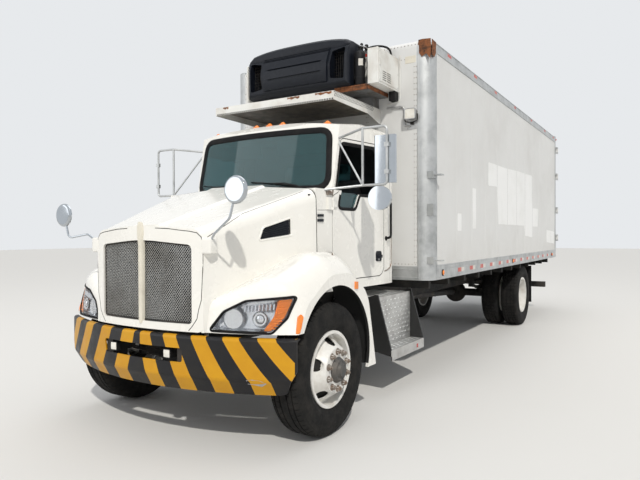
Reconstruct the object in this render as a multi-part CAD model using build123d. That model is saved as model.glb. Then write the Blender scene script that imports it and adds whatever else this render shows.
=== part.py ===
from build123d import *
import os
from math import atan2, cos, degrees, sin, sqrt

# Refrigerated truck: conventional cab, two axles, insulated box with a front-mounted cooling unit.
# Millimetres. The front faces -Y, the vehicle's left side is +X, up is +Z and the ground is z = 0.
# Every y below is measured rearward from the front axle; save() moves the pieces to the model's origin,
# which lies on the ground, at the middle of the overall length and width.

# Overall
wheelbase = 6466
front_overhang = 880
rear_overhang = 2612
middle_y = (wheelbase + rear_overhang - front_overhang) / 2

# Tyres and wheels
tyre_radius = 515
tyre_half_width = 140
tread_half_width = 108
bead_radius = 286.5
rim_flange_radius = 298.5
rim_half_width = 117
rim_wall = 12
front_wheel_x = 1048
rear_outer_x = 1067
rear_inner_x = 737
stud_circle_radius = 142.9
stud_count = 10
hand_hole_circle_radius = 215
hand_hole_half_width = 48
hand_hole_half_height = 32
hand_hole_count = 5
disc_thickness = 12
disc_face_radius = 174
disc_foot_radius = 256
disc_foot_offset = 30
disc_outset = (rear_outer_x - rear_inner_x) / 2
hub_radius = 88
drum_outer_radius = 208
drum_wall = 14
bearing_gap = 0.5

# Steering
kingpin_x = 876
kingpin_radius = 19
steering_arm_length = 190
tie_rod_radius = 17
tie_rod_z = 398

# Frame
rail_outer_x = 432
rail_height = 254
rail_top_z = 985
rail_flange = 82
rail_wall = 9
rail_front_y = -690
rail_rear_y = wheelbase + rear_overhang - 188
horn_bottom_z = 560
horn_top_z = 815
# y, web's lower and upper z
crossmembers = (
    (-610, 740, 881),
    (1155, 860, 976),
    (2150, 830, 976),
    (3300, 770, 920),
    (4500, 740, 881),
    (wheelbase - 766, 740, 881),
    (wheelbase + 534, 740, 881),
    (wheelbase + 1734, 740, 881),
)
cab_mount_ys = (430, 1580)

# Cab
cab_half_width = 925
cab_front_half_width = 850
cab_top_front_half_width = 766
cab_taper_end_y = 1450
cab_floor_z = 1060
cab_floor_thickness = 60
cab_wall = 45
cab_front_y = 272
cab_rear_y = 1700
roof_edge_half_width = 890
roof_crown_z = 2698
roof_arch_radius = 5000
roof_edge_z = roof_crown_z - 77
roof_apex_z = roof_crown_z + 56
roof_split_z = 2500
screen_base_y = 500
screen_base_z = 1955
screen_top_y = 610
screen_top_z = 2538
brow_y = screen_top_y + 140
brow_z = roof_crown_z - 62
screen_plan_radius = 3100
screen_glass = 6
door_front_y = 520
door_rear_y = 1455
door_bottom_z = 1145
door_top_z = 2447
door_gap = 8
door_hinge_x = 884
door_hinge_y = 503
door_hinge_zs = (1350, 1830)
hinge_barrel_radius = 10

# Hood
hood_rear_y = 260
hood_wall = 25
fender_inner_x = 905
hood_hinge_y = -800
hood_hinge_z = 700
hood_hinge_x = 440
hood_arm_thickness = 22
hood_pin_radius = 9
nose_front_y = -800
surround_front_y = -860
surround_plan_radius = 2800
arch_centre_y = 31
arch_centre_z = 624
arch_radius = 541
grille_half_width = 480
grille_bottom_z = 918
grille_corner_z = 1489
grille_crown_z = 1530
grille_bar_pairs = 9
grille_bar_pitch = 108

hood_mirror_left_z = 1862
hood_mirror_right_z = 1730

# Bumper
bumper_front_y = -873
bumper_plan_radius = 2565
bumper_half_width = 1215
bumper_top_z = 838
bumper_crease_z = 537
bumper_bottom_z = 431
bumper_wall = 12
bumper_flange = 40
bumper_foot = 60

# Box
box_half_width = 1295
box_front_y = 1812
box_rear_y = wheelbase + rear_overhang - 38
box_wall = 80
box_bottom_z = 1077
box_rail_top_z = 1235
box_floor_top_z = 1250
box_roof_z = 3589
box_top_rail_z = box_roof_z - 130
box_ceiling_z = box_roof_z - 80
corner_post_radius = 150
bearer_pitch = 600
rear_frame_depth = 110
rear_post_width = 95
rear_sill_height = 170
rear_header_height = 110
rear_door_gap = 8
rear_door_thickness = 80
rear_hinge_out = 30
rear_hinge_back = 30
rear_pin_radius = 8
rear_hinge_zs = (box_rail_top_z + 245, box_rail_top_z + 815, box_roof_z - 839, box_roof_z - 289)

# Cooling unit
unit_front_y = 1235
unit_half_width = 640
unit_bottom_z = box_roof_z - 524
unit_top_z = box_roof_z - 69
control_box_x = 817
control_box_top_z = box_roof_z - 174
platform_half_width = 715
platform_front_y = 800
platform_z = unit_bottom_z - 185

# Step box
step_box_front_y = 1150
step_box_rear_y = 1942

seat_gap = 0.3


def save(name, shape):
    """Write one node, moved from the front axle's frame to the model's origin."""
    export_step(Pos(0, -middle_y, 0) * shape, "parts/" + name + ".step")


def rounded(*rows):
    """Closed face through corner rows (u, v) or (u, v, corner radius)."""
    points = [(row[0], row[1]) for row in rows]
    radii = [row[2] if len(row) > 2 else 0 for row in rows]
    return make_face(FilletPolyline(*points, radius=radii, close=True))


def mirrored(rows):
    """Right half rows (u, v, radius) from the bottom up, completed to a symmetrical outline."""
    left = [(-row[0],) + tuple(row[1:]) for row in reversed(rows) if row[0] != 0]
    return list(rows) + left


def across(face, x0, x1):
    """Side-view face (y, z), extruded from x0 to x1."""
    return extrude(Plane.YZ.offset(x0) * face, amount=x1 - x0)


def lengthwise(face, y0, y1):
    """Front-view face (x, z), extruded from y0 to y1."""
    return extrude(Plane.XZ.offset(-y1) * face, amount=y1 - y0)


def upward(face, z0, z1):
    """Plan face (x, y), extruded from z0 to z1."""
    return extrude(Plane.XY.offset(z0) * face, amount=z1 - z0)


def block(x0, x1, y0, y1, z0, z1):
    """Box by its limits."""
    return Pos((x0 + x1) / 2, (y0 + y1) / 2, (z0 + z1) / 2) * Box(x1 - x0, y1 - y0, z1 - z0)


def rod(start, end, radius):
    """Round bar between two points."""
    path = Line(start, end)
    return extrude(Plane(origin=start, z_dir=path % 0) * Circle(radius), amount=path.length)


def bent_tube(points, radius, bend):
    """Round bar along a path with bends of one radius."""
    path = FilletPolyline(*points, radius=bend)
    return sweep(Plane(origin=points[0], z_dir=path % 0) * Circle(radius), path=path)


def other_side(shape):
    """The same shape on the opposite side of the vehicle."""
    return mirror(shape, about=Plane.YZ)


def spun(profile_rows, x, axle_y, z):
    """Solid of revolution about a wheel's axis, from rows (distance along X, radius)."""
    face = Plane.XY * rounded(*profile_rows)
    return Pos(x, axle_y, z) * revolve(face, axis=Axis.X)


# Tyres: crown, shoulders, bulged side walls and beads
def tyre(x, axle_y):
    right = [
        (rim_half_width - rim_wall - 0.5, bead_radius),
        (rim_half_width - rim_wall - 0.5, rim_flange_radius + 1),
        (tyre_half_width, tyre_radius - 118),
        (tyre_half_width - 8, tyre_radius - 44),
        (tread_half_width, tyre_radius - 8),
        (tread_half_width - 45, tyre_radius),
    ]
    return spun(mirrored(right), x, axle_y, tyre_radius)


def rim(x, axle_y):
    """Rim barrel with its two flanges."""
    inside = bead_radius - 0.5 - rim_wall
    right = [
        (rim_half_width, inside),
        (rim_half_width, rim_flange_radius),
        (rim_half_width - rim_wall, rim_flange_radius),
        (rim_half_width - rim_wall, bead_radius - 0.5),
    ]
    return spun(mirrored(right), x, axle_y, tyre_radius)


def disc(x, axle_y, side, outer):
    """Dished disc with its bolting face at the outset from the tyre's middle x; side 1 bulges outward, -1 inward."""
    inner_face = disc_outset - disc_thickness
    rows = (
        (side * disc_outset, hub_radius - 10),
        (side * disc_outset, disc_face_radius),
        (side * (disc_foot_offset + disc_thickness), disc_foot_radius),
        (side * (disc_foot_offset + disc_thickness), outer),
        (side * disc_foot_offset, outer),
        (side * disc_foot_offset, disc_foot_radius),
        (side * inner_face, disc_face_radius),
        (side * inner_face, hub_radius - 10),
    )
    return spun(rows, x, axle_y, tyre_radius)


def around_axle(shape_at, count, x, axle_y):
    """Copies round the axle: shape_at(angle) gives one at its place about the X axis."""
    return [Pos(x, axle_y, tyre_radius) * Rot(360 / count * i, 0, 0) * shape_at for i in range(count)]


def hand_holes(x, axle_y):
    oval = Plane.YZ.offset(-200) * Ellipse(hand_hole_half_width, hand_hole_half_height)
    hole = Pos(0, 0, hand_hole_circle_radius) * extrude(oval, amount=400)
    return around_axle(hole, hand_hole_count, x, axle_y)


def lug_nuts(x, axle_y):
    nut = Pos(0, 0, stud_circle_radius) * Rot(0, 90, 0) * extrude(RegularPolygon(19, 6), amount=24, both=True)
    return around_axle(nut, stud_count, x, axle_y)


spindle_radius = 38


def front_wheel():
    """Left front wheel: rim, convex disc with hand holes, nuts, hub with its cap, and brake drum."""
    x = front_wheel_x
    face = x + disc_outset
    seat = disc_outset - disc_thickness
    wheel = rim(x, 0) + disc(x, 0, 1, bead_radius - rim_wall)
    for hole in hand_holes(x, 0):
        wheel -= hole
    for nut in lug_nuts(face - 2, 0):
        wheel += nut
    hub_rows = (
        (-90, spindle_radius + bearing_gap),
        (-90, hub_radius - 14),
        (40, hub_radius),
        (disc_outset + 4, hub_radius + 8),
        (disc_outset + 28, hub_radius - 4),
        (disc_outset + 34, hub_radius - 30),
        (disc_outset + 50, hub_radius - 42),
        (disc_outset + 50, 0.001),
        (118, 0.001),
        (118, spindle_radius + bearing_gap),
    )
    wheel += spun(hub_rows, x, 0, tyre_radius)
    drum_rows = (
        (-108, drum_outer_radius - drum_wall),
        (-108, drum_outer_radius),
        (48, drum_outer_radius),
        (seat - 16, disc_face_radius - 4),
        (seat, disc_face_radius - 4),
        (seat, hub_radius - 6),
        (seat - 16, hub_radius - 6),
        (seat - 16, disc_face_radius - 20),
        (36, drum_outer_radius - drum_wall),
    )
    wheel += spun(drum_rows, x, 0, tyre_radius)
    return wheel


rear_face_x = (rear_outer_x + rear_inner_x) / 2
axle_end_radius = 58


def rear_rims():
    """Left rear twin rims, one inside each tyre."""
    return rim(rear_outer_x, wheelbase) + rim(rear_inner_x, wheelbase)


def rear_wheels():
    """Left rear twin discs, which meet at the hub flange, with nuts, hub and drum."""
    y = wheelbase
    outer_radius = bead_radius - rim_wall - 0.5 - seat_gap
    wheels = disc(rear_outer_x, y, -1, outer_radius) + disc(rear_inner_x, y, 1, outer_radius)
    for hole in hand_holes(rear_face_x, y):
        wheels -= hole
    for nut in lug_nuts(rear_face_x + disc_thickness - 2, y):
        wheels += nut
    hub_rows = (
        (-150, axle_end_radius + bearing_gap),
        (-150, hub_radius),
        (60, hub_radius + 6),
        (128, hub_radius - 6),
        (128, 66),
        (142, 60),
        (142, 0.001),
        (110, 0.001),
        (110, axle_end_radius + bearing_gap),
    )
    wheels += spun(hub_rows, rear_face_x, y, tyre_radius)
    drum_rows = (
        (-200, drum_outer_radius - drum_wall),
        (-200, drum_outer_radius),
        (-14, drum_outer_radius),
        (-14, hub_radius - 4),
        (-28, hub_radius - 4),
        (-28, drum_outer_radius - drum_wall),
    )
    wheels += spun(drum_rows, rear_face_x, y, tyre_radius)
    return wheels


# Front axle, knuckles and tie rod
eye_radius = 44
eye_half_height = 56
yoke_gap = 6
yoke_thickness = 30
beam_drop_z = 372
beam_depth = 88
beam_half_width = 46
spring_x = 430
spring_half_width = 38
spring_seat_z = beam_drop_z + beam_depth


def front_axle():
    """Drop-centre beam with an eye for each kingpin."""
    hub_z = tyre_radius
    rows = [
        (spring_x + 70, beam_drop_z, 60),
        (kingpin_x - 60, hub_z - 48, 60),
        (kingpin_x, hub_z - 48),
        (kingpin_x, hub_z + 40),
        (kingpin_x - 90, hub_z + 40, 60),
        (spring_x + 60, spring_seat_z, 40),
    ]
    beam = lengthwise(rounded(*mirrored(rows)), -beam_half_width, beam_half_width)
    web_rows = [
        (spring_x - 60, beam_drop_z + 16),
        (spring_x - 60, spring_seat_z - 16),
    ]
    for side in (-1, 1):
        recess = lengthwise(rounded(*mirrored(web_rows)), 14, beam_half_width + 1)
        beam -= recess if side > 0 else mirror(recess, about=Plane.XZ)
    for side in (-1, 1):
        beam += Pos(side * kingpin_x, 0, hub_z) * Cylinder(eye_radius, 2 * eye_half_height)
    for side in (-1, 1):
        beam -= Pos(side * kingpin_x, 0, hub_z) * Cylinder(kingpin_radius + bearing_gap, 400)
        cheek = block(kingpin_x, kingpin_x + 200, -60, 60, hub_z - 60, hub_z + 60)
        ring = cheek - Pos(kingpin_x, 0, hub_z) * Cylinder(eye_radius, 400)
        beam -= ring if side > 0 else other_side(ring)
    return beam


def knuckle():
    """Left steering knuckle: yoke with the kingpin, spindle and the arm for the tie rod."""
    hub_z = tyre_radius
    low = hub_z - eye_half_height - yoke_gap
    high = hub_z + eye_half_height + yoke_gap
    back_x = kingpin_x + eye_radius + yoke_gap
    plan = rounded(
        (kingpin_x - 42, -42, 40),
        (back_x + 26, -52),
        (back_x + 26, 52),
        (kingpin_x - 42, 42, 40),
    )
    piece = upward(plan, high, high + yoke_thickness)
    piece += upward(plan, low - yoke_thickness, low)
    piece += block(back_x, back_x + 26, -52, 52, low - yoke_thickness, high + yoke_thickness)
    piece += Pos(kingpin_x, 0, hub_z) * Cylinder(kingpin_radius, high - low + 2)
    spindle_end = front_wheel_x + 112
    piece += rod((back_x + 20, 0, hub_z), (spindle_end, 0, hub_z), spindle_radius)
    arm = rounded(
        (kingpin_x - 26, 20),
        (kingpin_x + 26, 20),
        (kingpin_x + 22, steering_arm_length + 22, 21),
        (kingpin_x - 22, steering_arm_length + 22, 21),
    )
    piece += upward(arm, low - yoke_thickness, low - yoke_thickness + 20)
    piece += Pos(kingpin_x, steering_arm_length, tie_rod_z + 8) * Cylinder(8, 50)
    return piece


def tie_rod():
    """Cross tube between the two steering arms, with an eye at each end."""
    end_x = kingpin_x - 14
    y, z = steering_arm_length, tie_rod_z
    rod_body = rod((-end_x, y, z), (end_x, y, z), tie_rod_radius)
    for side in (-1, 1):
        rod_body += Pos(side * kingpin_x, steering_arm_length, tie_rod_z) * Cylinder(24, 40)
        rod_body -= Pos(side * kingpin_x, steering_arm_length, tie_rod_z) * Cylinder(8.5, 60)
    return rod_body


# Springs, rear axle and drive line
def leaf_pack(x, axle_y, seat_z, half_length, rise, half_width, leaves):
    """Leaf spring on an axle: arched bands, each shorter than the one above it."""
    leaf = 14
    pack = None
    for i in range(leaves):
        reach = half_length * (1 - 0.16 * i)
        top = seat_z + leaf * (leaves - i)
        up = rise * (reach / half_length) ** 2
        outer = ThreePointArc((axle_y - reach, top + up), (axle_y, top), (axle_y + reach, top + up))
        low = top - leaf
        inner = ThreePointArc((axle_y - reach, low + up), (axle_y, low), (axle_y + reach, low + up))
        ends = [Line(outer @ 0, inner @ 0), Line(outer @ 1, inner @ 1)]
        band = across(make_face([outer, inner] + ends), x - half_width, x + half_width)
        pack = band if pack is None else pack + band
    return pack


front_spring_half_length = 640
rear_spring_half_length = 680
rear_spring_x = 492
rear_tube_radius = 66
rear_seat_z = tyre_radius + rear_tube_radius + 10


def springs():
    """Four leaf packs with their hangers, clamp plates and U-bolts' blocks."""
    rail_bottom = rail_top_z - rail_height
    pieces = None
    for axle_y, x, seat, half, rise in (
        (0, spring_x, spring_seat_z, front_spring_half_length, 150),
        (wheelbase, rear_spring_x, rear_seat_z, rear_spring_half_length, 60),
    ):
        pack = leaf_pack(x, axle_y, seat, half, rise, spring_half_width, 5)
        clamp_half = spring_half_width + 10
        clamp = block(x - clamp_half, x + clamp_half, axle_y - 75, axle_y + 75, seat, seat + 95)
        pack += clamp
        for end in (-1, 1):
            tip = axle_y + end * (half - 20)
            eye_z = seat + 14 * 4.5 + rise
            top = rail_bottom if x < rail_outer_x else rail_bottom + 90
            half_width = spring_half_width
            high = max(top, eye_z + 30)
            hanger = block(x - half_width, x + half_width, tip - 45, tip + 45, eye_z - 40, high)
            if x > rail_outer_x:
                hanger += block(rail_outer_x, x, tip - 45, tip + 45, rail_bottom + 10, rail_bottom + 90)
            pack += hanger
        pieces = pack if pieces is None else pieces + pack
    return pieces + other_side(pieces)


def rear_axle():
    """Banjo housing with its tubes and spindle ends, spring seats, and the propeller shaft."""
    y, z = wheelbase, tyre_radius
    housing = rod((-rear_face_x + 40, y, z), (rear_face_x - 40, y, z), rear_tube_radius)
    housing -= block(rear_face_x - 190, rear_face_x, y - 90, y + 90, z - 90, z + 90)
    housing -= block(-rear_face_x, -rear_face_x + 190, y - 90, y + 90, z - 90, z + 90)
    housing += rod((-rear_face_x - 100, y, z), (rear_face_x + 100, y, z), axle_end_radius)
    bowl = rounded((-95, 0), (-95, 90, 20), (-60, 185, 60), (60, 185, 60), (95, 90, 20), (95, 0))
    housing += Pos(0, y, z) * Rot(0, 0, 90) * revolve(Plane.XY * bowl, axis=Axis.X)
    for side in (-1, 1):
        x = side * rear_spring_x
        housing += block(x - 45, x + 45, y - 70, y + 70, z, rear_seat_z)
    return housing


engine_half_width = 300
engine_front_y = -430
engine_rear_y = 520
engine_bottom_z = 640
engine_top_z = 1420
gearbox_rear_y = 1150
shaft_radius = 52


def engine_block():
    """Engine as one plain block, with the gearbox and the propeller shaft behind it."""
    half = engine_half_width
    mass = block(-half, half, engine_front_y, engine_rear_y, engine_bottom_z, engine_top_z)
    mass -= block(-half - 1, -200, engine_front_y - 1, engine_rear_y + 1, engine_bottom_z - 1, 860)
    mass -= block(200, half + 1, engine_front_y - 1, engine_rear_y + 1, engine_bottom_z - 1, 860)
    under_cab_z = cab_floor_z - 15
    mass -= block(-half - 1, half + 1, cab_front_y - 20, engine_rear_y + 1, under_cab_z, engine_top_z + 1)
    gearbox_outline = rounded((-150, 640, 40), (150, 640, 40), (190, 980, 60), (-190, 980, 60))
    gearbox = lengthwise(gearbox_outline, engine_rear_y, gearbox_rear_y)
    shaft = rod((0, gearbox_rear_y, 800), (0, wheelbase - 185, tyre_radius + 10), shaft_radius)
    mount = block(engine_half_width, rail_outer_x - rail_wall, -200, -120, 880, 930)
    return mass + gearbox + shaft + mount + other_side(mount)


def radiator():
    """Core with its tanks, upright behind the grille on the frame's front cross member."""
    core = block(-335, 335, -640, -560, 930, 1400)
    tanks = block(-350, 350, -650, -550, 1400, 1470) + block(-340, 340, -650, -550, 881, 930)
    return core + tanks


# Frame
def frame_rails():
    """Two channel rails joined by cross members, with the cab's mounts."""
    bottom = rail_top_z - rail_height
    channel = rounded(
        (rail_outer_x, bottom),
        (rail_outer_x, rail_top_z),
        (rail_outer_x - rail_flange, rail_top_z),
        (rail_outer_x - rail_flange, rail_top_z - rail_wall),
        (rail_outer_x - rail_wall, rail_top_z - rail_wall),
        (rail_outer_x - rail_wall, bottom + rail_wall),
        (rail_outer_x - rail_flange, bottom + rail_wall),
        (rail_outer_x - rail_flange, bottom),
    )
    rail = lengthwise(channel, rail_front_y, rail_rear_y)
    frame = rail + other_side(rail)
    inner = rail_outer_x - rail_wall
    for y, low, high in crossmembers:
        frame += block(-inner, inner, y - 5, y + 5, low, high)
        frame += block(-inner, inner, y - 5, y + 60, high - 8, high)
    side = None
    for y in cab_mount_ys:
        mount = block(rail_outer_x - 80, rail_outer_x, y - 50, y + 50, rail_top_z, cab_floor_z)
        side = mount if side is None else side + mount
    return frame + side + other_side(side)


def frame_horns():
    """Front ends of the frame, which carry the bumper and the hood's hinge pins."""
    horn = block(rail_outer_x - 80, rail_outer_x, rail_front_y - 200, rail_front_y, horn_bottom_z, horn_top_z)
    horn &= bumper_form(bumper_wall + seat_gap)
    pin_end = hood_hinge_x + hood_arm_thickness + 6
    y, z = hood_hinge_y, hood_hinge_z
    horn += rod((rail_outer_x - 40, y, z), (pin_end, y, z), hood_pin_radius)
    return horn + other_side(horn)


# Bumper: a bent plate with a sloping foot, a top flange and a slot in the middle
def bumper_form(inset):
    """Everything behind the bumper's outer face, moved back by inset."""
    r = bumper_plan_radius - inset
    low = bumper_bottom_z - (5 if inset else 0)
    top = bumper_top_z - inset
    rows = (
        (r - bumper_foot, low),
        (r, bumper_crease_z, 60),
        (r, top, 24),
        (r - 400, top),
        (r - 400, low),
    )
    ring = revolve(Plane.XZ * rounded(*rows), axis=Axis.Z)
    return Pos(0, bumper_front_y + bumper_plan_radius, 0) * ring


def bumper():
    end_rows = [
        (bumper_half_width - 230, bumper_bottom_z - 30),
        (bumper_half_width - 90, bumper_bottom_z + 12, 40),
        (bumper_half_width, 610, 40),
        (bumper_half_width, bumper_top_z + 20),
    ]
    window = lengthwise(rounded(*mirrored(end_rows)), bumper_front_y - 20, -400)
    slot = lengthwise(rounded((-432, 640, 20), (402, 640, 20), (402, 742, 20), (-450, 742, 20)), -1000, -700)
    r = bumper_plan_radius
    behind = Pos(0, bumper_front_y + r, 750) * Cylinder(r - bumper_flange, 300)
    return (bumper_form(0) - bumper_form(bumper_wall)) & window - slot - behind


# Cab
def cab_form(inset):
    """Outer form of the cab, or the same form moved inward by inset."""
    side_rows = (
        (cab_front_y + inset, cab_floor_z + inset),
        (cab_front_y + inset, screen_top_z + 20 - inset),
        (screen_top_y + 20 + inset, screen_top_z + 30 - inset, 40),
        (brow_y + inset, brow_z - inset, 200),
        (brow_y + 400, roof_crown_z - inset, 900),
        (cab_rear_y - inset, roof_crown_z - 50 - inset, 110 - inset),
        (cab_rear_y - inset, cab_floor_z + inset),
    )
    side = across(rounded(*side_rows), -cab_half_width, cab_half_width)
    front_rows = [
        (cab_half_width - inset, cab_floor_z + inset),
        (cab_half_width - inset, 2300, 1500),
        (roof_edge_half_width - inset, roof_edge_z - inset, 110 - inset),
        (0, roof_apex_z - inset, roof_arch_radius),
    ]
    front = lengthwise(rounded(*mirrored(front_rows)), cab_front_y, cab_rear_y)
    low = side & front & cab_plan(cab_front_half_width, inset)
    high = side & front & cab_plan(cab_top_front_half_width, inset) & roof_brow(inset)
    return (high & screen_side(inset)) + (low & block(-2000, 2000, 0, 3000, 0, screen_base_z - inset))


def roof_brow(inset):
    """Space below the arched roof where it rises from the windshield towards the crown."""
    rows = [(1500, -2500), (1500, -168 - inset), (0, 56 - inset, roof_arch_radius)]
    rise = degrees(atan2(roof_crown_z - brow_z, 400))
    return Pos(0, brow_y, brow_z) * Rot(rise, 0, 0) * lengthwise(rounded(*mirrored(rows)), -1500, 1500)


def cab_plan(front_half_width, inset):
    """Tapered plan of the cab's lower body or of its upper part."""
    right = [
        (front_half_width - inset, cab_front_y),
        (cab_half_width - inset, cab_taper_end_y),
        (cab_half_width - inset, cab_rear_y - inset, 70 - inset),
    ]
    return upward(rounded(*mirrored(right)), cab_floor_z, roof_crown_z)


def cab_side_x(y):
    """Half width of the cab's side at a place along the taper."""
    share = (y - cab_front_y) / (cab_taper_end_y - cab_front_y)
    return cab_front_half_width + (cab_half_width - cab_front_half_width) * share


def screen_side(inset):
    """Everything behind the windshield's curved plane, moved back by inset."""
    slope = atan2(screen_top_y - screen_base_y, screen_top_z - screen_base_z)
    along = Vector(0, sin(slope), cos(slope))
    back = Vector(0, cos(slope), -sin(slope))
    radius = screen_plan_radius - inset
    foot = Vector(0, screen_base_y, screen_base_z) + back * screen_plan_radius - along * 1500
    plane = Plane(origin=foot, x_dir=(1, 0, 0), z_dir=along)
    return extrude(plane * Circle(radius), amount=3500)


door_outline = [
    (door_front_y, door_bottom_z, 40),
    (door_front_y, 1900, 60),
    (640, 1950, 60),
    (745, door_top_z, 60),
    (door_rear_y, door_top_z + 8, 70),
    (door_rear_y, door_bottom_z, 110),
]
window_outline = [
    (625, 1800, 40),
    (905, 1800, 60),
    (985, 1938, 50),
    (1360, 1940, 35),
    (1360, 2400, 60),
    (760, 2390, 50),
    (680, 1970, 60),
]


def grown(rows, amount):
    """Outline face offset outward by amount."""
    return offset(rounded(*rows), amount=amount)


def left_door():
    """Left door: the cab side's own form, with its window cut and its hinge leaves."""
    reach = (cab_top_front_half_width - 120, cab_half_width + 10)
    skin = cab_form(0) - cab_form(cab_wall)
    panel = skin & across(grown(door_outline, -door_gap), *reach)
    panel -= across(rounded(*window_outline), *reach)
    for z in door_hinge_zs:
        panel += hinge_leaf(z, 1)
    return panel


def hinge_leaf(z, side):
    """Barrel and leaf of one cab door hinge: side 1 on the door, -1 on the cab."""
    x, y = door_hinge_x, door_hinge_y
    skin = cab_side_x(y)
    if side > 0:
        barrel = Pos(x, y, z) * Cylinder(hinge_barrel_radius, 56)
        web = block(skin + 6, x, y, y + 30, z - 28, z + 28)
        return barrel + web + block(skin - 3, x, y + 28, y + 78, z - 28, z + 28)
    pieces = block(skin - 6, x, y - 64, y - 16, z - 55, z + 55)
    for end in (-1, 1):
        pieces += Pos(x, y, z + end * 42) * Cylinder(hinge_barrel_radius, 26)
        pieces += block(skin + 2, x, y - 20, y, z + end * 42 - 13, z + end * 42 + 13)
    return pieces


def left_door_glass():
    """The lowered window glass that shows in the notch."""
    sheet = cab_form(20) - cab_form(26)
    whole = sheet & across(grown(window_outline, -seat_gap), 600, 1000)
    return whole & block(600, 1000, 0, 985, 1700, 1948)


def right_door_glass():
    sheet = cab_form(20) - cab_form(26)
    return other_side(sheet & across(grown(window_outline, -seat_gap), 600, 1000))


windshield_rows = [
    (772, screen_base_z + 28, 115),
    (738, screen_top_z - 22, 95),
]
rear_window_rows = [(430, 1960, 60), (430, 2330, 60)]


def windshield():
    shell = screen_side(0) - screen_side(screen_glass)
    opening = lengthwise(grown(mirrored(windshield_rows), -seat_gap), 0, 900)
    return shell & opening


def rear_window():
    return lengthwise(grown(mirrored(rear_window_rows), -seat_gap), cab_rear_y - 26, cab_rear_y - 20)


def cab_parts():
    """Hollow cab: the lower shell with its openings, and the roof panel."""
    shell = cab_form(0) - cab_form(cab_wall)
    floor_top_z = cab_floor_z + cab_floor_thickness
    shell += cab_form(cab_wall - 5) & block(-1000, 1000, 0, 2000, cab_floor_z, floor_top_z)
    opening = across(rounded(*door_outline), cab_top_front_half_width - 120, cab_half_width + 60)
    shell -= opening
    shell -= other_side(opening)
    shell -= lengthwise(rounded(*mirrored(windshield_rows)), 0, 900)
    shell -= lengthwise(rounded(*mirrored(rear_window_rows)), cab_rear_y - 100, cab_rear_y + 10)
    for z in door_hinge_zs:
        shell += hinge_leaf(z, -1) + other_side(hinge_leaf(z, -1))
    top = block(-2000, 2000, 0, 3000, roof_split_z, 3000)
    return shell - top, shell & top


def dashboard():
    rows = [(cab_front_y + 60, 1500), (cab_front_y + 60, 1880), (660, 1880, 40), (740, 1780, 40), (700, 1500)]
    dash = across(rounded(*rows), -880, 880)
    dash &= cab_form(cab_wall + seat_gap)
    column = rod((430, 660, 1700), (430, 870, 1850), 28)
    tilt = Pos(430, 870, 1850) * Rot(-55, 0, 0)
    wheel = tilt * (Torus(215, 15) + Cylinder(50, 30) + Box(420, 26, 12) + Box(26, 420, 12))
    return dash + column + wheel


seat_cushion_rows = ((1020, 1390, 25), (1020, 1530, 50), (1520, 1505, 30), (1520, 1390, 25))
seat_back_rows = ((1460, 1440, 20), (1540, 2180, 45), (1635, 2180, 45), (1600, 1440, 20))


def seats():
    shapes = None
    floor_z = cab_floor_z + cab_floor_thickness
    for x in (-430, 430):
        base = block(x - 180, x + 180, 1070, 1430, floor_z, 1440)
        cushion = across(rounded(*seat_cushion_rows), x - 250, x + 250)
        back = across(rounded(*seat_back_rows), x - 240, x + 240)
        seat = base + cushion + back
        shapes = seat if shapes is None else shapes + seat
    return shapes


# Mirrors on the cab
mirror_tube_radius = 11
mirror_plane_y = 588
mirror_inner_x = 1133
mirror_outer_x = 1363
mirror_low_z = 1983
mirror_high_z = 2476


def mirror_frame():
    """Left mirror frame of bent tube, with its diagonal and its feet on the pillar and the cowl."""
    y = mirror_plane_y
    high_foot = (800, 730, 2435)
    low_foot = (800, 375, 1940)
    loop = [
        high_foot,
        (mirror_inner_x, y, mirror_high_z),
        (mirror_outer_x, y, mirror_high_z),
        (mirror_outer_x, y, mirror_low_z),
        (mirror_inner_x, y, mirror_low_z),
        low_foot,
    ]
    frame = bent_tube(loop, mirror_tube_radius, 35)
    frame += rod((mirror_inner_x, y, mirror_low_z), (mirror_inner_x, y, mirror_high_z), mirror_tube_radius)
    frame += rod(high_foot, (mirror_inner_x, y, mirror_low_z), mirror_tube_radius - 2)
    x = mirror_outer_x
    for z in (2090, 2320):
        frame += block(x - 20, x + 20, y - 14, y + mirror_tube_radius, z - 18, z + 18)
    return frame - cab_form(0)


def mirror_heads():
    """Left mirror: tall flat head behind the outer upright, round convex one below it."""
    y = mirror_plane_y + mirror_tube_radius
    tall = upward(rounded((1231, y, 20), (1431, y, 20), (1425, y + 62, 20), (1237, y + 62, 20)), 1996, 2404)
    round_head = Pos(1283, y + 20, 1872) * Rot(90, 0, 0) * Cylinder(104, 36)
    stem = rod((1283, y + 20, 1872), (1283, y + 20, 2000), 9)
    return tall + round_head + stem


# Roof lamps: x, y and middle z
lamp_places = ((-668, 768, 2590), (-161, 768, 2629), (0, 768, 2632), (161, 768, 2629), (668, 768, 2590))


def roof_lamps():
    lamps = None
    for x, y, z in lamp_places:
        bullet = Pos(x, y + 10, z - 90) * extrude(Circle(38), amount=100)
        bullet += Pos(x, y + 14, z + 9) * Sphere(26)
        lamps = bullet if lamps is None else lamps + bullet
    return lamps - cab_form(0)


# Hood with its fenders
def nose_form(inset):
    """Tapered body between the grille surround and the cowl."""
    front = [
        (576 - inset, 862),
        (570 - inset, 1600 - inset, 105 - inset),
        (150, 1622 - inset, 30),
        (130, 1640 - inset, 30),
    ]
    rear = [
        (875 - inset, 862),
        (858 - inset, 1945 - inset, 105 - inset),
        (330, 1984 - inset, 30),
        (300, 2002 - inset, 30),
    ]
    sections = []
    for y, rows in ((nose_front_y, front), (hood_rear_y, rear)):
        sections.append(Plane.XZ.offset(-y) * rounded(*mirrored(rows)))
    return loft(sections, ruled=True)


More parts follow.
